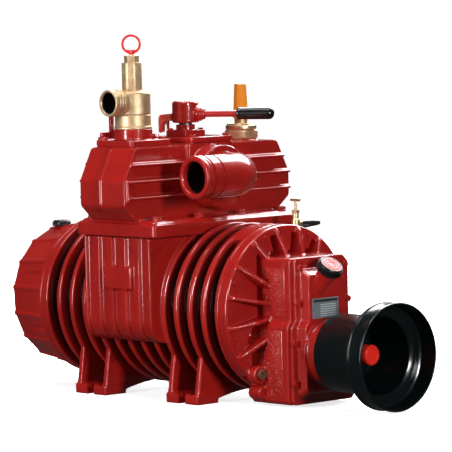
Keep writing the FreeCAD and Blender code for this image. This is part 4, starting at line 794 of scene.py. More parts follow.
@dataclass
class Casing:
    """Finned barrel, its manifold block and its four feet, in one iron casting."""

    half_length: float = 273.0
    bore: float = 135.0
    barrel: float = 143.0
    fin_radius: float = 173.0
    fin_pitch: float = 41.0
    fin_count: int = 12
    fin_crest: float = 6.3
    fin_root: float = 10.5
    rim: float = 11.0
    block_half: float = 102.5
    block_side: float = 188.0
    near_more: float = 8.0
    band_half: float = 31.0
    block_top: float = 342.0
    shoulder: float = 168.0
    shoulder_radius: float = 45.0
    rib_height: float = 7.0
    rib_half: float = 7.5
    foot_inner: float = 100.0
    foot_outer: float = 160.0
    foot_height: float = 20.0
    foot_start: float = 95.0
    foot_end: float = 192.0
    web: float = 13.0
    webs: tuple[float, ...] = (-184.5, -102.5, 102.5, 184.5)
    web_low: Pair = (158.0, 4.0)
    web_high: Pair = (142.0, 108.0)
    arch_rise: float = 13.0
    pad_half: float = 44.0
    pad_low: float = 234.0
    pad_high: float = 281.0
    pad_pin: float = 38.0
    boss: float = 11.0
    slot_centre: float = 143.5
    slot_half: float = 11.0
    slot_end: float = 139.0

    def fins(self) -> Thing:
        """Ring fins in a row, each with a rounded crest."""
        r, crest, root = self.fin_radius, self.fin_crest, self.fin_root
        profile = rounded([(-root, self.bore + 4), (-root, self.barrel - 1), (-crest, r),
                           (crest, r), (root, self.barrel - 1), (root, self.bore + 4)], 4.0, 4)
        start = -(self.fin_count - 1) / 2 * self.fin_pitch
        return Repeats.row("fins", Shell().lathe(profile, Axis.X, turns=144), self.fin_count,
                           (start, 0, BARREL_AXIS), (self.fin_pitch, 0, 0))

    def barrel_shell(self, shell: Shell) -> None:
        """Plain barrel with its two end rims, and the band that closes the front gap on top."""
        r, h, b = self.fin_radius, self.half_length, self.barrel
        shell.lathe([(-h, 0), (-h, r), (-h + self.rim, r), (-h + self.rim, b),
                     (h - self.rim, b), (h - self.rim, r), (h, r), (h, 0)],
                    Axis.X, (0, BARREL_AXIS), 144)
        line = []
        for radius, way in ((r - 1.0, 1), (b - 3, -1)):
            for k in range(-10, 11):
                t = math.radians(90 + way * self.band_half * k / 10)
                line.append((radius * math.cos(t), BARREL_AXIS + radius * math.sin(t)))
        shell.prism(line, Axis.X, (self.fin_count - 1) / 2 * self.fin_pitch, h - 2)

    def block_slice(self, shell: Shell, side: float, low: float, high: float) -> None:
        """Slice of the block: straight sides that curve in above the fins."""
        half = [(side, self.block_top)]
        for k in range(9):
            t = math.pi / 2 * k / 8
            half.append((side - self.shoulder_radius * (1 - math.cos(t)),
                         self.shoulder - self.shoulder_radius * math.sin(t)))
        near = [(-y - self.near_more, z) for y, z in reversed(half)]
        shell.prism(half + near, Axis.X, low, high)

    def block(self, shell: Shell) -> None:
        """Block with its side ribs, each in line with a fin below."""
        self.block_slice(shell, self.block_side, -self.block_half, self.block_half)
        for k in range(-3, 3):
            x = (k + 0.5) * self.fin_pitch
            self.block_slice(shell, self.block_side + self.rib_height,
                             max(x - self.rib_half, -self.block_half),
                             min(x + self.rib_half, self.block_half))

    def feet(self, shell: Shell) -> None:
        """Arched cross webs and the foot pads."""
        arch = [(self.foot_inner * k / 6, 8 + self.arch_rise * (1 - (k / 6) ** 2))
                for k in range(-6, 7)]
        (low, foot), (high, top) = self.web_low, self.web_high
        outline = [(-low, foot), (-high, top), (high, top), (low, foot)] + arch[::-1]
        for x in self.webs:
            shell.prism(outline, Axis.X, x - self.web / 2, x + self.web / 2)
        for end, side, _ in corner_seats(0, 0, 1, 1, 0):
            shell.block((end * self.foot_start, side * self.foot_inner, 0),
                        (end * self.foot_end, side * self.foot_outer, self.foot_height))

    def pad_face(self) -> float:
        """Where the face of the blank pad stands, along Y."""
        return -self.block_side - self.near_more - self.rib_height - 1.5

    def build(self) -> None:
        """Pour, bore and dress the casing."""
        shell = Shell()
        self.barrel_shell(shell)
        self.block(shell)
        self.feet(shell)
        face, root = self.pad_face(), BARREL_AXIS + self.bore * 0.75
        shell.block((-self.pad_half, face, self.pad_low),
                    (self.pad_half, -self.block_side + 2, self.pad_high))
        for x, top in ((CoolingCock.x, CoolingCock.seat),
                       (CoolingCock.nipple_x, CoolingCock.nipple_seat)):
            shell.rod(self.boss, (x, CoolingCock.y, root), (x, CoolingCock.y, top))
        shell.take(self.fins())
        casting = poured(shell, "casing_casting", 2.2, 3, 0.36)
        tools = Shell().rod(self.bore, (-280, 0, BARREL_AXIS), (280, 0, BARREL_AXIS), 128)
        for x, side, _ in corner_seats(0, 0, self.slot_centre, 1, 0):
            tools.block((x - self.slot_half, side * self.slot_end, -1),
                        (x + self.slot_half, side * 165, 22))
        # Its enamel has painted shade between the fins.
        finished(bored(casting, tools), FIN_ENAMEL, "casing", "foot_webs", "foot_pads",
                 sharp=CAST_SHARP)
        pin = Shell().lathe(rounded([(-1, 0), (-1, 2.2), (1.0, 2.2), (1.6, 0)], 0.6, 2),
                            Axis.Z, turns=16)
        seats = [Vector((side * self.pad_pin, face, 258)) for side in SIDES]
        finished(Repeats.seats("pad_pins", pin, seats, (0, -1, 0)), RED_ENAMEL)


@dataclass
class Manifold:
    """Manifold casting: base flange, ribbed chest, saddle and two pipe branches."""

    half_length: float = 122.0
    half_width: float = 197.0
    near_more: float = 8.0
    low: float = 344.0
    top: float = 379.0
    ledge: float = 7.0
    weather: float = 0.58
    front: float = 67.0
    rear: float = -72.0
    belly: float = 235.0
    neck: float = 202.0
    foot: float = 196.0
    belly_low: float = 407.0
    belly_high: float = 460.0
    crown: float = 527.0
    bulge: float = 6.5
    rib_height: float = 9.0
    rib_low: float = 425.0
    rib_pitch: float = 34.0
    branch: float = 66.0
    boss_height: float = 460.0
    branch_height: float = 467.0
    branch_end: float = 112.0
    bore: float = 36.0
    saddle: tuple[Point, Point] = ((-60, -52, 500), (76, 65, 531))
    apron: tuple[Point, Point] = ((-60, -59, 467), (76, -50, 531))
    relief_foot: tuple[float, ...] = (-60.5, 54.5, -201.5, -88.5, 12.0)
    vacuum_boss: float = 36.0
    boss_root: float = 505.0
    screw_x: float = 101.0
    screw_far: float = 176.0
    screw_near: float = 58.0

    def outline(self, grow: float) -> list[Pair]:
        """Chest section, its sides pushed out by a bulge."""
        half = [(self.foot, self.top - 3), (self.belly + grow, self.belly_low),
                (self.belly + grow, self.belly_high), (self.neck + grow, self.crown)]
        near = [(-y, z) for y, z in reversed(half[1:])]
        near.append((-self.foot - self.near_more, self.top - 3))
        return rounded(half + near, 13, 4, closed=True)

    def reach(self, height: float) -> float:
        """How far out the chest's side stands at a height."""
        lean = (self.belly - self.neck) / (self.crown - self.belly_high)
        return self.belly - max(height - self.belly_high, 0) * lean

    def base(self, shell: Shell) -> None:
        """Base flange with its ledge."""
        x, y, step = self.half_length, self.half_width, self.ledge
        near = -y - self.near_more
        for stations in (((self.low, 0.8), (self.low + 0.8, 0.0),
                          (self.top - step - 5 * self.weather, 0.0), (self.top - step, 5.0)),
                         ((self.low + 2, step), (self.top - step * self.weather, step),
                          (self.top, 2 * step))):
            shell.loft([[Vector((a, b, z)) for a, b in rectangle(
                d - x, x - d, near + d, y - d, 10)] for z, d in stations])

    def ribs(self, shell: Shell) -> None:
        """Three ribs on each face, and the link between the ends of two of them."""
        for k in range(3):
            z = self.rib_low + k * self.rib_pitch
            side = self.reach(z)
            for face, way in ((self.front, 1), (self.rear, -1)):
                edge = face + way * self.rib_height
                crest = z + (self.rib_height - 2) * self.weather
                shell.prism([(z - 3.3, face - way * 6), (z - 3.3, edge), (z + 0.6, edge),
                             (crest + 0.6, face + way * 2), (crest + 0.6, face - way * 6)],
                            Axis.Y, 5 - side, side - 1.5)
        near = -self.reach(self.rib_low)
        shell.block((self.front - 4, near + 4, self.rib_low - 9),
                    (self.front + 7, near + 12, self.rib_low + self.rib_pitch + 2))

    def build(self) -> None:
        """Pour the casting, bore its branches and seat its screws."""
        shell = Shell()
        self.base(shell)
        middle, swell, crease = (self.front + self.rear) / 2, self.bulge - 0.7, self.bulge + 2.2
        shell.loft([section_ring(x, self.outline(grow)) for x, grow in (
            (self.rear, 0), (middle - 5, swell), (middle - 1, crease), (middle + 1, crease),
            (middle + 5, swell), (self.front, 0))])
        self.ribs(shell)
        shell.block(*self.saddle)
        shell.block(*self.apron)
        shell.drum(-self.branch_end, self.branch_end, self.branch, Axis.X,
                   (0, self.boss_height), 128)
        shell.prism(rectangle(*self.relief_foot), Axis.Z, self.boss_root,
                    ReliefValve.plate_low)
        valve = VacuumValve
        shell.rod(self.vacuum_boss, (valve.x, valve.y, self.boss_root),
                  (valve.x, valve.y, valve.low), 96)
        casting = poured(shell, "manifold_casting", 1.7, 3, 0.4)
        tool = Shell().rod(self.bore, (-120, 0, self.branch_height),
                           (120, 0, self.branch_height), 96)
        finished(bored(casting, tool), RED_ENAMEL, "manifold", sharp=CAST_SHARP)
        seats = (corner_seats(0, 0, self.screw_x, self.screw_far, self.top)
                 + corner_seats(0, 0, self.screw_x, self.screw_near, self.top))
        bolted("manifold_bolts", M12, seats, UP, "manifold_screws")


@dataclass
class Elbow:
    """Hose elbow with two clamp grooves, bolted to one end of the manifold."""

    end: int = 1
    start: float = 112.0
    height: float = 467.0
    flange: float = 66.0
    flange_height: float = 460.0
    flange_thickness: float = 6.0
    pipe: float = 45.0
    bore: float = 33.5
    lead: float = 17.0
    bend: float = 55.0
    tail: float = 94.0
    groove_width: float = 5.0
    groove_depth: float = 2.4
    grooves: Pair = (45.0, 19.0)
    screw_circle: float = 58.0

    def path(self, radius: float) -> list[Station]:
        """Stations of the bend at a radius."""
        stations = []
        for k in range(17):
            t = math.pi / 2 * k / 16
            spot = Vector((self.start + self.lead + self.bend * math.sin(t),
                           -self.bend * (1 - math.cos(t)), self.height))
            stations.append((spot, Vector((math.cos(t), -math.sin(t), 0)), radius))
        return stations

    def tail_stations(self) -> list[Station]:
        """Stations of the tail: its grooves, its lip and its rounded mouth."""
        x = self.start + self.lead + self.bend
        mouth, bore = self.bend + self.tail, self.bore
        depths = []
        for groove in self.grooves:
            low, high = mouth - groove - self.groove_width, mouth - groove
            depths += [(low - 0.6, 0.0), (low, 0.5), (low + 0.6, self.groove_depth),
                       (high - 0.6, self.groove_depth), (high, 0.5), (high + 0.6, 0.0)]
        depths += [(mouth - 12, 0.0), (mouth - 10.5, 0.6), (mouth - 9, 0.0),
                   (mouth - 2.4, 0.3), (mouth - 0.8, 1.4), (mouth, 3.2)]
        line = [(y, self.pipe - d) for y, d in depths]
        line += [(mouth, bore + 2.0), (mouth - 1.0, bore + 0.6), (mouth - 3.0, bore)]
        return [(Vector((x, -y, self.height)), Vector((0, -1, 0)), r) for y, r in line]

    def build(self) -> None:
        """Sweep the elbow, ring by ring, out along its skin and back down its bore."""
        face, pipe, flange = self.start + self.flange_thickness, self.pipe, self.flange
        lines = ((self.flange_height, ((self.start, flange - 1), (self.start + 1, flange),
                                       (face - 1.4, flange), (face, flange - 1.4))),
                 (self.height, ((face + 0.2, pipe + 2.6), (face + 1.2, pipe + 0.9),
                                (face + 3.4, pipe))),
                 (self.height, ((self.start, self.bore),)))
        rim, root, port = ([(Vector((x, 0, z)), Vector((1, 0, 0)), r) for x, r in line]
                           for z, line in lines)
        stations = (rim + root + self.path(pipe) + self.tail_stations()
                    + self.path(self.bore)[::-1] + port)
        shell = Shell().sweep(stations, Vector(UP), 96, ring_shaped=True)
        # Near-black lining down the tail's bore, from a little way inside the mouth.
        inner, outer = self.bore - 0.6, self.bore + 0.4
        low, high = 13 - self.bend - self.tail, -self.bend
        liner = Shell().lathe([(low, inner), (low, outer), (high, outer), (high, inner)],
                              Axis.Y, (self.height, self.start + self.lead + self.bend), 96)
        place = "front" if self.end > 0 else "rear"
        name, node = place + "_hose_elbow", place + "_elbow"
        for part, label, finish in ((shell, name, RED_ENAMEL),
                                    (liner, name + "_bore", DARK_BORE_LINING)):
            if self.end < 0:
                part.turned(180, Axis.Z)
            finished(part.piece(label), finish, node)
        seats = circle_seats(self.end * face, self.screw_circle, 4, 45, self.flange_height)
        bolted(name + "_bolts", M8, seats, (self.end, 0, 0), "chest_screws")


@dataclass
class FrontHousing:
    """Front end wall with sixteen ribs, and the gear case that stands out of it."""

    start: float = 273.0
    face: float = 295.0
    rim: float = 173.0
    panel: float = 171.0
    panel_rise: float = 3.0
    recess: float = 8.5
    low_recess: float = 26.0
    recess_floor: float = 276.5
    ribs: int = 16
    rib_half: float = 4.2
    head_rise: float = 11.0
    head_inset: float = 8.0
    rib_rise: float = 31.0
    rib_level: float = 112.0
    channel_top: float = 157.0
    channel_low: float = 96.0
    channel_slope: float = 0.105
    channels: tuple[int, ...] = (2, 3, 4)
    phase: float = 10.5
    top_half: float = 75.0
    far: float = 9.0
    low_half: float = 85.0
    case_end: float = 383.5
    boss_end: float = 317.0
    drain: Pair = (-97.0, 66.0)
    drain_boss: float = 19.0
    drain_bore: float = 14.2
    plug: Pair = (-90.0, 29.0)
    plug_boss: float = 14.0
    plug_bore: float = 7.5
    side_start: float = 303.0
    side_end: float = 368.0
    screw_circle: float = 160.0

    def rib_wheel(self) -> Thing:
        """Radial ribs, from the rim up to the gear case."""
        back, rise = self.recess_floor - 1, self.face + self.rib_rise
        rib = Shell().prism([(back, self.panel - 2), (self.face + self.panel_rise, self.panel),
                             (self.face + self.head_rise, self.panel - self.head_inset),
                             (rise, self.rib_level), (rise, 60), (back, 60)],
                            Axis.Z, -self.rib_half, self.rib_half)
        return Repeats.wheel("radial_ribs", rib, self.ribs, Axis.X, self.phase,
                             (0, 0, BARREL_AXIS))

    def wall(self) -> Thing:
        """Rim and panel, with the recess round the gear case and three channels cut in."""
        top = self.face + self.panel_rise
        disc = Shell().lathe([(self.start, 0), (self.start, self.rim), (self.face, self.rim),
                              (top, self.panel), (top, 0)], Axis.X, (0, BARREL_AXIS), 144)
        room = case_outline(self.top_half + self.recess, self.low_half + self.low_recess,
                            -self.recess, self.far)
        deep = (Axis.X, self.recess_floor, self.face + 40)
        wall = bored(poured(disc, "end_wall_blank", 1.7, 0),
                     Shell().prism(rounded(room, 12, 4, closed=True), *deep))
        low, high, cut = self.channel_low, self.channel_top, Shell()
        for k in self.channels:
            first = len(cut.points)
            cut.prism([(y, BARREL_AXIS + side * y * self.channel_slope) for y, side in (
                (low, -1), (high, -1), (high, 1), (low, 1))], *deep)
            cut.turned(self.phase + 360 * k / self.ribs, Axis.X, (0, 0, BARREL_AXIS), first)
        return bored(wall, cut)

    def build(self) -> None:
        """Pour the housing and dress its sides and screws."""
        shell = Shell().take(self.wall())
        case = case_outline(self.top_half, self.low_half, 0, self.far)
        shell.prism(rounded(case, 5, 3, closed=True), Axis.X, self.recess_floor - 2,
                    self.case_end)
        end, drain, plug = self.boss_end, self.drain, self.plug
        shell.rod(self.drain_boss, (self.face - 1, *drain), (end, *drain))
        shell.rod(self.plug_boss, (self.start + 11, *plug), (end, *plug))
        shell.take(self.rib_wheel())
        casting = poured(shell, "front_housing_casting", 1.7, 3, 0.4)
        tools = Shell().rod(self.drain_bore, (315.4, *drain), (330, *drain), 40)
        tools.rod(self.plug_bore, (315.8, *plug), (330, *plug), 32)
        finished(bored(casting, tools), RED_ENAMEL, "front_housing", sharp=CAST_SHARP)
        seats = circle_seats(self.face + self.panel_rise, self.screw_circle, 8,
                             self.phase + 180 / self.ribs, BARREL_AXIS)
        bolted("front_rim_bolts", M6, seats, (1, 0, 0), "casing_end_screws")
        for side, label in ((-1, "near"), (1, "far")):
            panels = Shell()
            for half, low, high in ((self.top_half, 186, 284), (self.low_half, 19, 158)):
                half += self.far if side > 0 else 0
                wall = sorted((side * (half - 2), side * (half + 1.2)))
                start, end = self.side_start, self.side_end
                panels.prism([(low, start), (low, end), (high, end), (high, start)], Axis.Y,
                             *wall)
            finished(eased(panels.piece(label + "_side_panels"), 1.0), GRAINY_ENAMEL,
                     "front_housing")


@dataclass
class GearCaseCover:
    """Cover of the gear case with its shaft neck, filler, data plate and screws."""

    start: float = 383.5
    flange: float = 9.0
    face: float = 415.5
    half: float = 52.0
    low_half: float = 63.0
    flange_width: float = 16.5
    flange_far: float = 14.5
    margin: float = 26.0
    drop: float = 8.0
    neck: float = 65.0
    neck_end: float = 455.5
    groove: float = 446.5
    groove_end: float = 451.5
    bore: float = 20.4
    filler_root: tuple[float, float, float] = (400.1, -17.0, 229.2)
    filler_neck: Pair = (12.0, 21.0)
    screw_heights: tuple[float, ...] = (284.0, 213.0, 132.0, 50.0)
    plate: tuple[float, ...] = (-44.0, 30.0, 181.0, 222.0)

    def build(self) -> None:
        """Pour the cover, bore it for the shaft and fit its screws."""
        shell, front, neck = Shell(), self.start + self.flange, self.neck
        wide = case_outline(self.half + self.flange_width, self.low_half + self.flange_width,
                            0, self.flange_far)
        shell.prism(rounded(wide, 4, 3, closed=True), Axis.X, self.start, front, 0.6)
        shell.loft([section_ring(x, rounded(case_outline(
            self.half + grow, self.low_half + grow, margin, drop=self.drop), 6, 3, closed=True))
            for x, grow, margin in ((self.start, 4, 8), (front, 3, 13),
                                    (self.face, 0, self.margin))])
        shell.lathe([(front, 0), (front, neck), (self.groove, neck), (self.groove, neck - 3),
                     (self.groove_end, neck - 3), (self.groove_end, neck),
                     (self.neck_end, neck), (self.neck_end, 0)], Axis.X, (0, DRIVE_AXIS), 128)
        shell.drum(self.face - 2, self.face + 2.2, neck + 4.5, Axis.X, (0, DRIVE_AXIS), 128)
        foot, head = self.filler_neck
        shell.rod(foot, self.filler_root, OilCaps.filler_seat, 64, end_radius=head)
        casting = poured(shell, "gear_case_cover_casting", 1.4, 3, 0.5)
        tools = Shell().rod(self.bore, (self.start - 5, 0, DRIVE_AXIS),
                            (self.neck_end + 5, 0, DRIVE_AXIS), 64)
        finished(bored(casting, tools), RED_ENAMEL, "gear_case_cover", sharp=CAST_SHARP)
        out = self.flange_width * 0.75
        seats = [Vector((front, side * (y + out + max(side, 0) * self.flange_far), z))
                 for side in SIDES for y, z in zip(
                     (self.half - 7, self.half, self.low_half, self.low_half),
                     self.screw_heights)]
        bolted("cover_bolts", M8, seats, (1, 0, 0), "gear_case_screws")
        self.data_plate()

    def data_plate(self) -> None:
        """Aluminium plate with printed rules and blank fields, and no words."""
        y0, y1, z0, z1 = self.plate
        back, front = self.face, self.face + 1.2
        plate = Shell().prism(rectangle(y0, y1, z0, z1, 1.2), Axis.X, back - 0.3, front)
        finished(eased(plate.piece("blank_data_plate"), 0.25, 1), ALUMINIUM, "data_plate")
        low, high = front - 0.05, front + 0.12
        ink = Shell().block((low, y0 + 3, z1 - 7.5), (high, y1 - 3, z1 - 3))
        finished(ink.piece("plate_band"), PLATE_INK)
        bar = Shell().block((low, y0 + 22, z0 + 4), (high, y1 - 9, z0 + 5.4))
        finished(Repeats.row("plate_rules", bar, 6, (0, 0, 0), (0, 0, 4.6), PLATE_FIELD),
                 PLATE_FIELD)


def fluted_cap(name: str, radius: float, height: float, flutes: int, top: float,
               slim: bool = False) -> tuple[Thing, Thing]:
    """Screw cap and its lid disc, drawn up from the origin.

    Args:
        name: Name of the cap.
        radius: Outer radius.
        height: Height of the cap.
        flutes: Count of grip ribs round its edge.
        top: Radius of the disc.
        slim: Whether the cap stands on a narrow neck of its own.

    Returns:
        The cap and the disc, both plain meshes at the origin.
    """
    waist, collar = (radius * 0.5, height * 0.4) if slim else (radius - 3, 0.0)
    body = Shell().lathe(rounded([(-1, 0), (-1, waist), (collar, waist),
                                  (collar + 1.5, radius - 0.9),
                                  (height - 4, radius - 0.9), (height, radius - 3.2),
                                  (height, top + 0.4), (height - 1.0, top), (height - 1.0, 0)],
                                 0.8, 2), Axis.Z)
    rib = Shell().rod(1.5, (radius - 1.3, 0, collar + 1.5), (radius - 1.3, 0, height - 3.6),
                      10, 0.5)
    body.take(Repeats.wheel(name + "_ribs", rib, flutes, Axis.Z, 0, (0, 0, 0), BLACK_PLASTIC))
    face = [(height - 1.4, 0.0), (height - 1.4, top - 0.3), (height - 0.4, top - 0.3)]
    for ring in (0.72 * top, 0.42 * top):
        face += [(height - 0.3, ring + 1.6), (height + 0.4, ring + 0.9),
                 (height + 0.4, ring - 0.9), (height - 0.3, ring - 1.6)]
    disc = Shell().lathe(rounded(face + [(height - 0.3, 0.0)], 0.5, 2), Axis.Z, turns=64)
    return body.piece(name), disc.piece(name + "_disc")


@dataclass
class OilCaps:
    """Fluted black caps of the gear case and of the oil tank."""

    filler_seat: tuple[float, float, float] = (435.4, -17.0, 277.7)
    tilt: float = 36.0
    tank_seat: tuple[float, float, float] = (-376.0, -30.0, 331.0)

    def build(self) -> None:
        """Turn both caps and set each on its neck."""
        lean = Matrix.Rotation(math.radians(self.tilt), 4, "Y")
        for made, way, lid, body, node in (
                (fluted_cap("filler_cap", 27, 18.5, 32, 21),
                 Matrix.Translation(self.filler_seat) @ lean, PINK_DISC, Body.GEAR_OIL_CAP,
                 "gear_oil_cap"),
                (fluted_cap("tank_cap", 20.0, 23, 22, 13, slim=True),
                 Matrix.Translation(self.tank_seat), BLACK_PLASTIC, Body.OIL_TANK_CAP,
                 "oil_tank_cap")):
            cap, disc = (moved(part, way) for part in made)
            finished(cap, BLACK_PLASTIC, node, body=body)
            finished(disc, lid, body=body)


@dataclass
class DriveEnd:
    """Plastic shaft guard, and the red cap on the splined stub."""

    back: float = 446.7
    shoulder: float = 565.7
    mouth: float = 571.7
    end: float = 613.7
    lip: float = 62.2
    radius: float = 80.0
    wall: float = 2.4
    rim: float = 109.6
    bead: float = 6.0
    bead_height: float = 2.0
    floor: float = 457.0
    cap_radius: float = 21.0
    cap_bore: float = 17.85
    cap_start: float = 497.5
    cap_end: float = 541.5

    def guard(self) -> None:
        """Blow moulded guard: a barrel that opens into a beaded cup."""
        r, w, low, mouth = self.radius, self.wall, self.rim - self.bead_height, self.mouth
        outer = [(self.back, self.lip + 1), (self.back, r - 7), (self.back + 6, r),
                 (self.shoulder - 3, r), (self.shoulder + 1, r + 4), (mouth - 3, low - 8),
                 (mouth, low - 3), (mouth, self.rim - 0.4), (mouth + self.bead, self.rim),
                 (mouth + self.bead + 1, low), (self.end - self.bead - 1, low),
                 (self.end - self.bead, self.rim), (self.end, self.rim),
                 (self.end, low - w - 0.5)]
        inner = [(self.end - 2, low - w), (mouth + w + 3, low - w - 1),
                 (mouth + w, low - w - 6), (self.shoulder + w + 3, r + 5),
                 (self.shoulder + w - 1, r - w), (self.back + 9, r - w),
                 (self.back + w, r - 10), (self.back + w, self.lip + 1),
                 (self.back + 1.5, self.lip)]
        cup = Shell().lathe(rounded(outer + inner, 2.4, 3, closed=True), Axis.X,
                            (0, DRIVE_AXIS), 160)
        finished(cup.piece("drive_guard"), BLACK_GUARD, "shaft_guard", sharp=60)
        ring = [(self.floor, 26), (self.floor, r - w + 0.4), (self.floor + w, r - w + 0.4),
                (self.floor + w, 26)]
        floor = Shell().lathe(rounded(ring, 0.8, 2, closed=True), Axis.X, (0, DRIVE_AXIS), 128)
        finished(floor.piece("guard_floor"), BLACK_GUARD, "shaft_guard")

    def build(self) -> None:
        """Build the guard, and the cap with a moulded ring round its end."""
        self.guard()
        start, end, radius, inner = self.cap_start, self.cap_end, self.cap_radius, self.cap_bore
        profile = rounded([(end - 4.6, 0), (end - 4.6, inner), (start, inner),
                           (start, radius), (end - 3, radius), (end, radius - 3),
                           (end, radius - 6), (end - 1.2, radius - 7), (end - 1.2, 0)], 0.9, 3)
        finished(Shell().lathe(profile, Axis.X, (0, DRIVE_AXIS)).piece("stub_cap"), CAP_NYLON,
                 "pto_cap", body=Body.PTO_CAP)


@dataclass
class DrainPlug:
    """Zinc plated oil plug with a hexagon socket and a sealing washer."""

    name: str
    node: str
    seat: tuple[float, float, float]
    facing: int
    radius: float = 11.5
    collar: float = 5.0

    def build(self) -> None:
        """Turn the plug, cut its socket and set it on its seat."""
        profile = rounded([(-6, 0), (-6, 9), (0, 9), (0, self.radius),
                           (self.collar, self.radius), (self.collar, 0)], 1.0, 3)
        body = Shell().lathe(profile, Axis.Z, turns=64).piece(self.name)
        socket = many_sided(6, 5.8 * math.cos(math.pi / 6), count=24)
        bored(body, Shell().prism(socket, Axis.Z, 0.8, 9.0))
        way = Matrix.Translation(self.seat) @ Matrix.Rotation(
            math.radians(90 * self.facing), 4, "Y")
        finished(moved(body, way), ZINC_STEEL, self.node, sharp=30)


@dataclass
class RearEnd:
    """Rear bearing plate and the faceted oil tank with its fittings."""

    plate_front: float = -273.0
    plate_back: float = -287.0
    rim: float = 169.0
    flange: float = 11.0
    root: float = 161.5
    back_radius: float = 147.0
    back: float = -409.0
    ribs: int = 16
    rib_half: float = 4.0
    rib_height: float = 2.0
    phase: float = 14.0
    screw_circle: float = 158.0
    spot: float = 9.5
    filler: Pair = (-376.0, -30.0)
    filler_top: float = 332.0
    sight: Pair = (-60.0, 150.0)
    sight_radius: float = 17.0
    drain_z: float = 75.22

    def body(self) -> Shell:
        """Faceted tank with its flange, filler boss, and ribs along its corners."""
        front, back, end, top = self.plate_back, self.back, self.back_radius, self.rib_height
        shell, turn = Shell(), math.radians(self.phase)
        shell.loft([[Vector((x, y, z + BARREL_AXIS)) for y, z in many_sided(
            self.ribs, radius * math.cos(math.pi / self.ribs), turn)] for x, radius in (
                (front, self.root), (back + 3, end + 0.6), (back, end - 2.4))])
        shell.drum(front - self.flange, front, self.rim, Axis.X, (0, BARREL_AXIS), 144)
        shell.rod(17, (*self.filler, 300), (*self.filler, self.filler_top))
        rib = Shell().prism([(front, self.root - 7), (front, self.root + top),
                             (back + 3, end + top + 0.6), (back, end + top - 2.4),
                             (back, end - 7)], Axis.Z, -self.rib_half, self.rib_half)
        return shell.take(Repeats.wheel("tank_ribs", rib, self.ribs, Axis.X, self.phase,
                                        (0, 0, BARREL_AXIS)))

    def tank(self) -> None:
        """Pour the tank, spot face its screws and bore it for the sight glass."""
        casting = poured(self.body(), "oil_tank_casting", 2.0, 3, 0.4)
        seats = circle_seats(self.plate_back - self.flange, self.screw_circle, 8,
                             self.phase + 180 / self.ribs, BARREL_AXIS)
        tools = Shell()
        for seat in seats:
            tools.rod(self.spot, seat, seat + Vector((-130, 0, 0)), 40)
        tools.rod(self.sight_radius, (self.back - 5, *self.sight),
                  (self.back + 7, *self.sight), 64)
        finished(bored(casting, tools), RED_ENAMEL, "oil_tank", sharp=CAST_SHARP)
        bolted("rear_rim_bolts", M8, seats, (-1, 0, 0), "casing_end_screws")

    def build(self) -> None:
        """Build the plate, the tank, the sight glass in its ring, and the plug."""
        edge, back, front = self.rim - 0.4, self.plate_back + 0.3, self.plate_front - 0.3
        line = rounded([(back, 0), (back, edge), (front, edge), (front, 0)], 1.2, 3)
        plate = Shell().lathe(line, Axis.X, (0, BARREL_AXIS), 144)
        finished(plate.piece("rear_plate"), RED_ENAMEL, "rear_bearing_plate")
        self.tank()
        r, back = self.sight_radius, self.back
        ring = Shell().lathe(rounded([(back + 5, r - 5), (back + 5, r), (back, r),
                                      (back, r + 4), (back - 4, r + 4), (back - 4, r - 5)],
                                     0.8, 2, closed=True), Axis.X, self.sight, 64)
        finished(ring.piece("sight_ring"), ZINC_STEEL, "oil_sight_glass")
        lens = Shell().lathe([(back + 4, 0), (back + 4, r - 4.8), (back - 1, r - 4.8),
                              (back - 2.4, r - 9), (back - 2.8, 0)], Axis.X, self.sight, 64)
        finished(lens.piece("sight_lens"), CLEAR_ACRYLIC, "oil_sight_glass")
        DrainPlug("tank_drain", "oil_tank_drain_plug", (self.back, 0, self.drain_z),
                  -1).build()


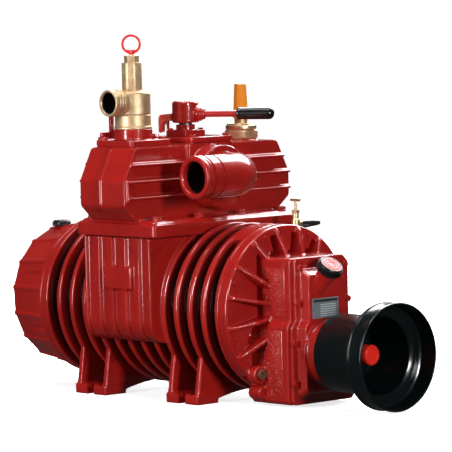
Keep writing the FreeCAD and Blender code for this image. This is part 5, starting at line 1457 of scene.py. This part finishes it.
@dataclass
class Changeover:
    """Cover, gland, hub, lever and grip of the changeover valve."""

    top: float = 543.0
    cover: float = 12.0
    rear: float = -60.0
    front: float = 76.0
    near: float = -52.0
    far: float = 65.0
    gland_half: float = 31.0
    gland: float = 13.0
    gland_neck: float = 20.0
    gland_top: float = 567.0
    hub_low: float = 571.0
    hub_height: float = 46.0
    hub: float = 27.5
    boss: float = 15.0
    boss_reach: float = 44.0
    lever_height: float = 589.0
    lever: float = 7.0
    length: float = 196.0
    grip: float = 13.0
    grip_length: float = 80.0
    angle: float = 29.0
    pointer: float = 58.0
    pointer_half: float = 8.0
    pointer_thickness: float = 10.0
    pointer_drop: float = 21.0

    def still(self) -> None:
        """Cover plate, and the gland with its round neck and its four small screws."""
        plate = Shell().prism(rectangle(self.rear, self.front, self.near, self.far, 5.5),
                              Axis.Z, self.top - self.cover + 0.4, self.top)
        finished(eased(plate.piece("changeover_plate"), 1.6), RED_ENAMEL, "changeover_cover")
        h, face = self.gland_half, self.top + self.gland
        shell = Shell().prism(rectangle(-h, h, -h, h, 8), Axis.Z, self.top, face)
        shell.drum(self.top + 2, self.gland_top, self.gland_neck, Axis.Z, turns=64)
        finished(poured(shell, "gland_casting", 0.9, 3, 0.6), RED_ENAMEL, "changeover_gland",
                 sharp=CAST_SHARP)
        bolted("gland_bolts", M6, corner_seats(0, 0, 22.5, 22.5, face), UP, "gland_screws")

    def hub_piece(self) -> None:
        """Cast hub with the lever boss, its collar and the pointer."""
        low, high = self.hub_low, self.hub_low + self.hub_height
        z, r = self.lever_height, self.hub
        shell = Shell().lathe([(low, 0), (low, r - 2), (low + 2, r), (high - 5, r),
                               (high - 2, r - 2), (high, r - 5), (high, r - 9),
                               (high - 1.6, r - 11), (high - 1.6, 0)], Axis.Z)
        first = len(shell.points)
        boss, end = self.boss, self.boss_reach
        shell.rod(boss, (0, 0, z), (end - 8, 0, z), 56)
        shell.rod(boss + 2.5, (25, 0, z), (31, 0, z), 56, 1.5)
        shell.rod(boss, (end - 9, 0, z), (end, 0, z), 56, end_radius=boss - 4.5)
        reach, thick, foot = self.pointer, self.pointer_thickness, low - self.pointer_drop
        arm = rounded([(-reach, foot), (-reach, low + thick + 7), (0, low + thick + 12),
                       (0, low + 4), (17 - reach, low + 4), (10 - reach, low - 6),
                       (10 - reach, foot)], 8, 4, closed=True)
        shell.prism([(height, x) for x, height in arm], Axis.Y, -self.pointer_half,
                    self.pointer_half)
        shell.rod(3.4, (-39, 0, low + 3), (-39, 0, low - 14), 24)
        shell.turned(self.angle, Axis.Z, first=first)
        finished(poured(shell, "hub_casting", 0.9, 3, 0.6), RED_ENAMEL, "lever_hub",
                 body=Body.CHANGEOVER, sharp=CAST_SHARP)

    def build(self) -> None:
        """Build the still pieces, the hub, the painted bar and its dipped vinyl grip."""
        self.still()
        self.hub_piece()
        start, end = self.length - self.grip_length, self.length
        r, z = self.grip, self.lever_height
        bar = Shell().rod(self.lever, (self.boss_reach - 3, 0, z), (start + 28, 0, z), 48, 0.6)
        profile = [(start + 2, 0), (start + 2, r - 4), (start, r - 2.5), (start + 1, r - 0.3),
                   (start + 4, r), (start + 8, r - 0.5), (end - r - 6, r - 0.2)]
        for k in range(9):
            t = math.pi / 2 * k / 8
            profile.append((end - r * 0.85 * (1 - math.sin(t)), (r - 0.2) * math.cos(t)))
        grip = Shell().lathe(rounded(profile, 1.5, 2), Axis.X, (0, z), 64)
        for part, name, finish, node in ((bar, "lever_rod", RED_ENAMEL, "lever_bar"),
                                         (grip, "grip_sleeve", BLACK_VINYL, "lever_grip")):
            finished(part.turned(self.angle, Axis.Z).piece(name), finish, node,
                     body=Body.CHANGEOVER)


@dataclass
class ReliefValve:
    """Brass relief valve on its painted flange, with the red pull ring."""

    x: float = -3.0
    y: float = -145.0
    plate_low: float = 530.0
    plate_x: float = 57.5
    plate_y: float = 56.5
    plate_top: float = 542.0
    collar: float = 40.0
    seat: float = 564.0
    radius: float = 37.5
    top: float = 644.0
    waist: float = 594.0
    ridge: float = 1.6
    spout: float = 26.5
    spout_bore: float = 22.5
    spout_height: float = 620.0
    spout_reach: float = 68.0
    bonnet: float = 21.0
    bonnet_top: float = 702.0
    adjuster: float = 27.0
    adjuster_top: float = 717.0
    ring: float = 20.5
    ring_hole: float = 15.6
    ring_floor: float = 9.0
    ring_half: float = 2.5
    ring_turn: float = 47.0

    def flange(self) -> None:
        """Painted plate, collar and rear lug."""
        x, y, low, top = self.x, self.y, self.plate_low, self.plate_top
        shell = Shell().prism(rectangle(x - self.plate_x, x + self.plate_x, y - self.plate_y,
                                        y + self.plate_y, 10), Axis.Z, low, top)
        shell.drum(low + 1, self.seat, self.collar, Axis.Z, (x, y))
        edge = x - self.plate_x
        lug = [(-193.5, top - 2), (-193.5, top + 6.5), (-187.0, top + 6.5),
               (-187.0, top + 16), (-162.0, top + 16), (-162.0, top + 50),
               (-152.0, top + 50), (-152.0, top - 2)]
        shell.prism(rounded(lug, 3, 3, closed=True), Axis.X, edge, edge + 6)
        finished(poured(shell, "relief_flange_casting", 1.1, 3, 0.5), RED_ENAMEL,
                 "relief_flange", sharp=CAST_SHARP)

    def body(self) -> None:
        """Cast body with its foot ring, waist line and ridged spout."""
        low, top, waist = self.seat, self.top, self.waist
        r, foot = self.radius, self.radius + self.ridge
        shell = Shell().lathe([(low, 0), (low, foot - 0.6), (low + 1, foot), (low + 4.6, foot),
                               (low + 6.6, r), (waist - 1.6, r), (waist, r - 1.7),
                               (waist + 1.6, r), (top - 7, r), (top - 3, r - 2.2),
                               (top - 0.5, r - 7), (top, r - 11), (top, 0)], Axis.Z,
                              (self.x, self.y), 128)
        mouth, at, r = self.y - self.spout_reach, (self.spout_height, self.x), self.spout
        line = [(mouth, 0), (mouth, r + 0.6), (mouth + 1.0, r + 1.2), (mouth + 5, r + 1.2),
                (mouth + 7, r)]
        for start in (mouth + 12, mouth + 19, mouth + 26):
            line += [(start - 0.8, r), (start, r + self.ridge), (start + 2.6, r + self.ridge),
                     (start + 3.6, r)]
        shell.lathe(line + [(self.y - 8, r), (self.y - 8, 0)], Axis.Y, at, 112)
        bore = self.spout_bore
        tool = Shell().lathe([(mouth - 3, 0), (mouth - 3, bore + 2.2),
                              (mouth + 0.2, bore + 1.0), (mouth + 1.4, bore),
                              (mouth + 44, bore), (mouth + 44, 0)], Axis.Y, at, 96)
        finished(bored(poured(shell, "relief_valve_casting", 0.85, 2, 0.55), tool), CAST_BRASS,
                 "relief_body", sharp=CAST_SHARP)
        # Near-black lining of the spout's bore, from a little way inside its mouth.
        cup = Shell().lathe([(mouth + 44.4, 0), (mouth + 44.4, bore + 0.3),
                             (mouth + 3.5, bore + 0.3), (mouth + 3.5, bore - 0.5),
                             (mouth + 43, bore - 0.5), (mouth + 43, 0)], Axis.Y, at, 64)
        finished(cup.piece("relief_spout_bore"), DARK_BORE_LINING, "relief_body", slot="cast_brass")

    def pull_ring(self) -> None:
        """Moulded ring with a thick straight floor, on the spindle."""
        top, h = self.adjuster_top, self.ring_half
        z, floor = top + 3 + self.ring, self.ring_floor - self.ring
        rings: list[Ring] = []
        for radius, least, side in ((self.ring, -math.inf, -h), (self.ring, -math.inf, h),
                                    (self.ring_hole, floor, h), (self.ring_hole, floor, -h)):
            rings.append([Vector((side, radius * math.cos(t),
                                  z + max(radius * math.sin(t), least))) for t in around(96)])
        loop = Shell().loft(rings, ring_shaped=True)
        foot = Shell().rod(6, (0, 0, top + 2), (0, 0, z + floor - 1), 32)
        for part in (loop, foot):
            part.turned(self.ring_turn - 90, Axis.Z)
            part.points = [p + Vector((self.x, self.y, 0)) for p in part.points]
        for piece in (eased(loop.piece("pull_loop"), 1.3, 3, 40),
                      eased(foot.piece("pull_loop_foot"), 0.8)):
            finished(piece, RED_NYLON, "relief_pull_ring", body=Body.RELIEF)

    def build(self) -> None:
        """Build the valve from its flange up: spring housing with faint flats, adjuster."""
        self.flange()
        self.body()
        at = (self.x, self.y)
        flats = many_sided(8, self.bonnet * 0.965, 0.3, 128, self.bonnet, at)
        bonnet = Shell().prism(flats, Axis.Z, self.top - 2, self.bonnet_top)
        finished(eased(bonnet.piece("spring_housing"), 0.8), CAST_BRASS, "relief_bonnet",
                 sharp=30)
        nut = Shell().hexagon(self.adjuster, self.bonnet_top, self.adjuster_top, 0.25, at)
        finished(nut.piece("adjuster_hexagon"), CAST_BRASS, "relief_adjuster",
                 sharp=BOLT_SHARP)
        self.pull_ring()


@dataclass
class VacuumValve:
    """Brass vacuum regulating valve with its orange adjusting knob."""

    x: float = 6.0
    y: float = 155.0
    low: float = 530.0
    flats: float = 64.0
    hex_top: float = 549.5
    nut: float = 33.0
    nut_top: float = 563.5
    neck: float = 14.0
    neck_top: float = 587.5
    knob_low: float = 574.5
    knob_height: float = 73.0
    skirt: float = 14.0
    facets: int = 10

    def build(self) -> None:
        """Build the hexagon with its neck, the nut and the knob."""
        at, top, high = (self.x, self.y), self.hex_top, self.nut_top
        body = Shell().hexagon(self.flats, self.low, top, 0.0, at, both=True)
        body.drum(top - 1, self.neck_top, self.neck, Axis.Z, at, 64)
        finished(body.piece("vacuum_hexagon"), CAST_BRASS, "vacuum_valve_body",
                 sharp=BOLT_SHARP)
        bore, r = self.neck + 0.2, self.nut
        nut = Shell().lathe(rounded([(top + 0.3, bore), (top + 0.3, r - 2), (top + 2, r),
                                     (high - 5, r), (high - 3.5, r - 2.5), (high, r - 4),
                                     (high, bore)], 0.8, 2, closed=True), Axis.Z, at)
        finished(nut.piece("lock_ring"), TURNED_BRASS, "vacuum_valve_nut")
        self.knob()

    def knob(self) -> None:
        """Moulded knob: a skirt and a tapered shaft with grip flats."""
        low, top = self.knob_low, self.knob_low + self.knob_height
        edge = low + self.skirt
        rings = []
        for z, radius, flat in ((low, 16.2, 0.0), (low + 0.8, 17.0, 0.0),
                                (edge - 1.5, 17.0, 0.0), (edge, 16.2, 0.0),
                                (edge + 1.5, 15.7, 1.0), (top - 2.0, 12.8, 1.0),
                                (top - 0.6, 12.2, 1.0), (top, 10.8, 0.6)):
            ring = []
            for t in around(120):
                r = radius * (1 - 0.03 * flat * (1 - math.cos(self.facets * t)))
                ring.append(Vector((self.x + r * math.cos(t), self.y + r * math.sin(t), z)))
            rings.append(ring)
        finished(Shell().loft(rings).piece("adjusting_knob"), ORANGE_NYLON,
                 "vacuum_valve_knob", body=Body.VACUUM_KNOB, sharp=40)


@dataclass
class CoolingCock:
    """Brass needle cock with its T-handle, and the nipple that takes the hose back."""

    x: float = 206.0
    y: float = 118.0
    seat: float = 318.0
    flats: float = 19.0
    top: float = 386.0
    outlet: float = 358.0
    reach: float = 17.0
    tee_top: float = 407.0
    tee_half: float = 13.5
    nipple_x: float = 143.5
    nipple_seat: float = 325.0

    def build(self) -> None:
        """Build the cock with its gland nut and tail, its handle, and the nipple."""
        x, y, z, top, tail = self.x, self.y, self.seat, self.top, self.y + self.reach
        cock = Shell().hexagon(self.flats, z, z + 12, 0.2, (x, y), both=True)
        cock.lathe([(z + 11, 0), (z + 11, 6.4), (z + 30, 6.4), (z + 32, 8.5), (z + 48, 8.5),
                    (z + 50, 6.6), (top, 6.6), (top, 0)], Axis.Z, (x, y), 48)
        cock.hexagon(14.4, top - 6, top, 0.1, (x, y))
        cock.lathe([(y, 0), (y, 4.4), (y + 9, 4.4), (y + 11, 5.0), (y + 13, 4.4), (tail, 4.4),
                    (tail, 0)], Axis.Y, (self.outlet, x), 32)
        finished(cock.piece("cock_body"), TURNED_BRASS, "needle_cock", sharp=BOLT_SHARP)
        handle = Shell().rod(3.0, (x, y, top - 8), (x, y, self.tee_top), 24)
        handle.rod(3.0, (x - self.tee_half, y, self.tee_top),
                   (x + self.tee_half, y, self.tee_top), 32, 0.8)
        finished(handle.piece("tee_handle"), TURNED_BRASS, "cock_handle",
                 body=Body.COCK_HANDLE)
        at, z = (self.nipple_x, y), self.nipple_seat
        nipple = Shell().hexagon(self.flats * 0.8, z, z + 4, 0.3, at, both=True)
        nipple.lathe(rounded([(z + 3, 0), (z + 3, 6.5), (z + 15.5, 6.5), (z + 15.5, 0)], 1.5,
                             3), Axis.Z, at, 48)
        nipple.drum(y, tail, 4.4, Axis.Y, (z + 10, self.nipple_x), 32)
        finished(nipple.piece("nipple_body"), TURNED_BRASS, "hose_nipple", sharp=BOLT_SHARP)


@dataclass
class ChestBolts:
    """Screws of the relief flange and of the changeover cover."""

    relief_pitch: Pair = (43.5, 42.5)
    cover_centre: Pair = (8.0, 6.5)
    cover_pitch: Pair = (57.0, 47.5)

    def build(self) -> None:
        """Seat the eight upright screws."""
        relief = ReliefValve
        seats = (corner_seats(relief.x, relief.y, *self.relief_pitch, relief.plate_top)
                 + corner_seats(*self.cover_centre, *self.cover_pitch, Changeover.top))
        bolted("chest_bolts", M8, seats, UP, "chest_screws")


@dataclass
class HoseCord:
    """Rubber hose that takes cooling oil from the cock back to the casing."""

    start: tuple[float, float, float] = (206.0, 135.0, 358.0)
    end: tuple[float, float, float] = (143.5, 135.0, 335.0)
    radius: float = 4.5
    length: float = 172.3

    def build(self) -> None:
        curve = bpy.data.curves.new("hose_line", "CURVE")
        curve.dimensions = "3D"
        curve.bevel_depth = self.radius * MM
        curve.bevel_resolution = 6
        curve.resolution_u = 16
        a, b = Vector(self.start), Vector(self.end)
        route = [a, a + Vector((0, 23, 0)), a + Vector((2, 47, -2)),
                 a + Vector((-15, 64.5, -5)), b + Vector((18, 65, 13)),
                 b + Vector((-2, 48, 7)), b + Vector((0, 23, 0)), b]
        spline = curve.splines.new("NURBS")
        spline.points.add(len(route) - 1)
        for point, place in zip(spline.points, route):
            point.co = (*(place * MM), 1.0)
        spline.order_u = 3
        spline.use_endpoint_u = True
        hose = linked("cooling_hose", curve)
        curve.materials.append(BLACK_RUBBER.material())
        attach(hose, Body.PUMP.value)
        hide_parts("hose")


# ---------------------------------------------------------------- studio


@dataclass
class Studio:
    """Pale floor, soft lights and the camera at the photograph's angle."""

    target: tuple[float, float, float] = (21.0, 90.6, 347.2)
    azimuth: float = 47.0
    elevation: float = 4.0
    roll: float = 1.3
    distance: float = 7443.6
    focal_pixels: float = 3500.0
    picture_pixels: float = 452.0
    sensor: float = 36.0
    room_light: float = 0.05
    backdrop: float = 1.0
    lamp_tint: str = "#FBFCFF"
    sun_power: float = 0.9
    sun_spread: float = 18.0
    sun_way: tuple[float, float, float] = (-0.1, 0.35, -1.2)
    floor_reach: float = 300.0
    floor_glow: float = 0.75

    def camera(self) -> None:
        """Set the camera where the photograph was taken from."""
        a, e, r = (math.radians(v) for v in (self.azimuth, self.elevation, self.roll))
        back = Vector((math.sin(a) * math.cos(e), -math.cos(a) * math.cos(e), math.sin(e)))
        right = Vector((math.cos(a), math.sin(a), 0))
        up = back.cross(right)
        side = right * math.cos(r) - up * math.sin(r)
        top = right * math.sin(r) + up * math.cos(r)
        data = bpy.data.cameras.new("camera")
        data.sensor_width = self.sensor
        data.lens = self.focal_pixels / self.picture_pixels * self.sensor
        data.clip_end = 1000.0
        camera = linked("camera", data)
        turn = Matrix((side, top, back)).transposed().to_4x4()
        spot = (Vector(self.target) + back * self.distance) * MM
        camera.matrix_world = Matrix.Translation(spot) @ turn
        bpy.context.scene.camera = camera

    def floor(self) -> None:
        """Pale matt floor that runs on past the camera's view."""
        mesh = bpy.data.meshes.new("floor")
        corners = [(x * self.floor_reach, y * self.floor_reach, 0)
                   for x, y in ((-1, -1), (1, -1), (1, 1), (-1, 1))]
        mesh.from_pydata(corners, [], [(0, 1, 2, 3)])
        floor = linked("floor", mesh)
        material = bpy.data.materials.new("pale floor")
        material.use_nodes = True
        inputs = material.node_tree.nodes["Principled BSDF"].inputs
        for name, value in (("Base Color", linear("#F4F4F4")), ("Roughness", 0.9),
                            ("Specular IOR Level", 0.1),
                            ("Emission Color", linear("#FFFFFF")),
                            ("Emission Strength", self.floor_glow)):
            inputs[name].default_value = value
        mesh.materials.append(material)
        floor.visible_diffuse = False
        floor.visible_glossy = False

    def lamp(self, name: str, kind: str, way: Vector, power: float) -> Thing:
        """Hang a lamp.

        Args:
            name: Name of the lamp.
            kind: Blender's type of light.
            way: Way that it shines.
            power: Its strength.

        Returns:
            The lamp, at the origin.
        """
        data = bpy.data.lights.new(name, kind)
        data.energy = power
        data.color = linear(self.lamp_tint)[:3]
        lamp = linked(name, data)
        lamp.rotation_mode = "QUATERNION"
        lamp.rotation_quaternion = way.to_track_quat("-Z", "Y")
        return lamp

    def build(self) -> None:
        """Light the room: a soft sun for the whole floor and four soft boxes in metres."""
        scene = bpy.context.scene
        scene.view_settings.view_transform = "Standard"
        world = bpy.data.worlds.new("room")
        scene.world = world
        world.use_nodes = True
        tree = world.node_tree
        seen = add_node(tree, "ShaderNodeLightPath").outputs["Is Camera Ray"]
        level = add_node(tree, "ShaderNodeMapRange", {
            "Value": seen, "To Min": self.room_light, "To Max": self.backdrop})
        background = tree.nodes["Background"]
        background.inputs["Color"].default_value = linear("#FFFFFF")
        tree.links.new(level.outputs["Result"], background.inputs["Strength"])
        self.floor()
        sun = self.lamp("sky_lamp", "SUN", Vector(self.sun_way), self.sun_power)
        sun.data.angle = math.radians(self.sun_spread)
        aim = (0.0, 0.0, 0.3)
        for name, place, target, size, power in (
                ("left_strip", (0.0, -3.6, 0.9), aim, (0.5, 2.0), 105),
                ("right_key", (3.7, -0.8, 0.95), (0.1, -0.1, 0.45), (0.45, 0.8), 80),
                ("back_box", (-1.0, 2.4, 2.7), aim, (3.2, 2.2), 290),
                ("top_strip", (0.2, -0.3, 3.2), aim, (2.4, 0.4), 30)):
            box = self.lamp(name, "AREA", Vector(target) - Vector(place), power)
            box.location = place
            box.data.shape = "RECTANGLE"
            box.data.size, box.data.size_y = size


def paint_cad_nodes() -> None:
    """Give every node of the CAD model the finish of its slot."""
    for part in frame["record"]["subparts"]:
        node = frame["nodes"][part["node"]]
        node.data.materials.clear()
        node.data.materials.append(CAD_FINISHES[part["material_slot"]].material())


def main() -> None:
    """Build the camera and the hose, then every sub-assembly in turn."""
    logging.basicConfig(level=logging.INFO, format="%(name)s %(message)s")
    studio = Studio()
    studio.camera()
    HoseCord().build()
    paint_cad_nodes()
    assemblies = (Casing(), Manifold(), Elbow(), Elbow(end=-1), FrontHousing(),
                  GearCaseCover(), OilCaps(), DriveEnd(),
                  DrainPlug("gear_drain", "gear_drain_plug",
                            (FrontHousing.boss_end, *FrontHousing.drain), 1),
                  RearEnd(), Changeover(), ReliefValve(), VacuumValve(), CoolingCock(),
                  ChestBolts())
    for assembly in assemblies:
        assembly.build()
        LOG.info("%s done", type(assembly).__name__)
    studio.build()


if __name__ == "__main__":
    main()
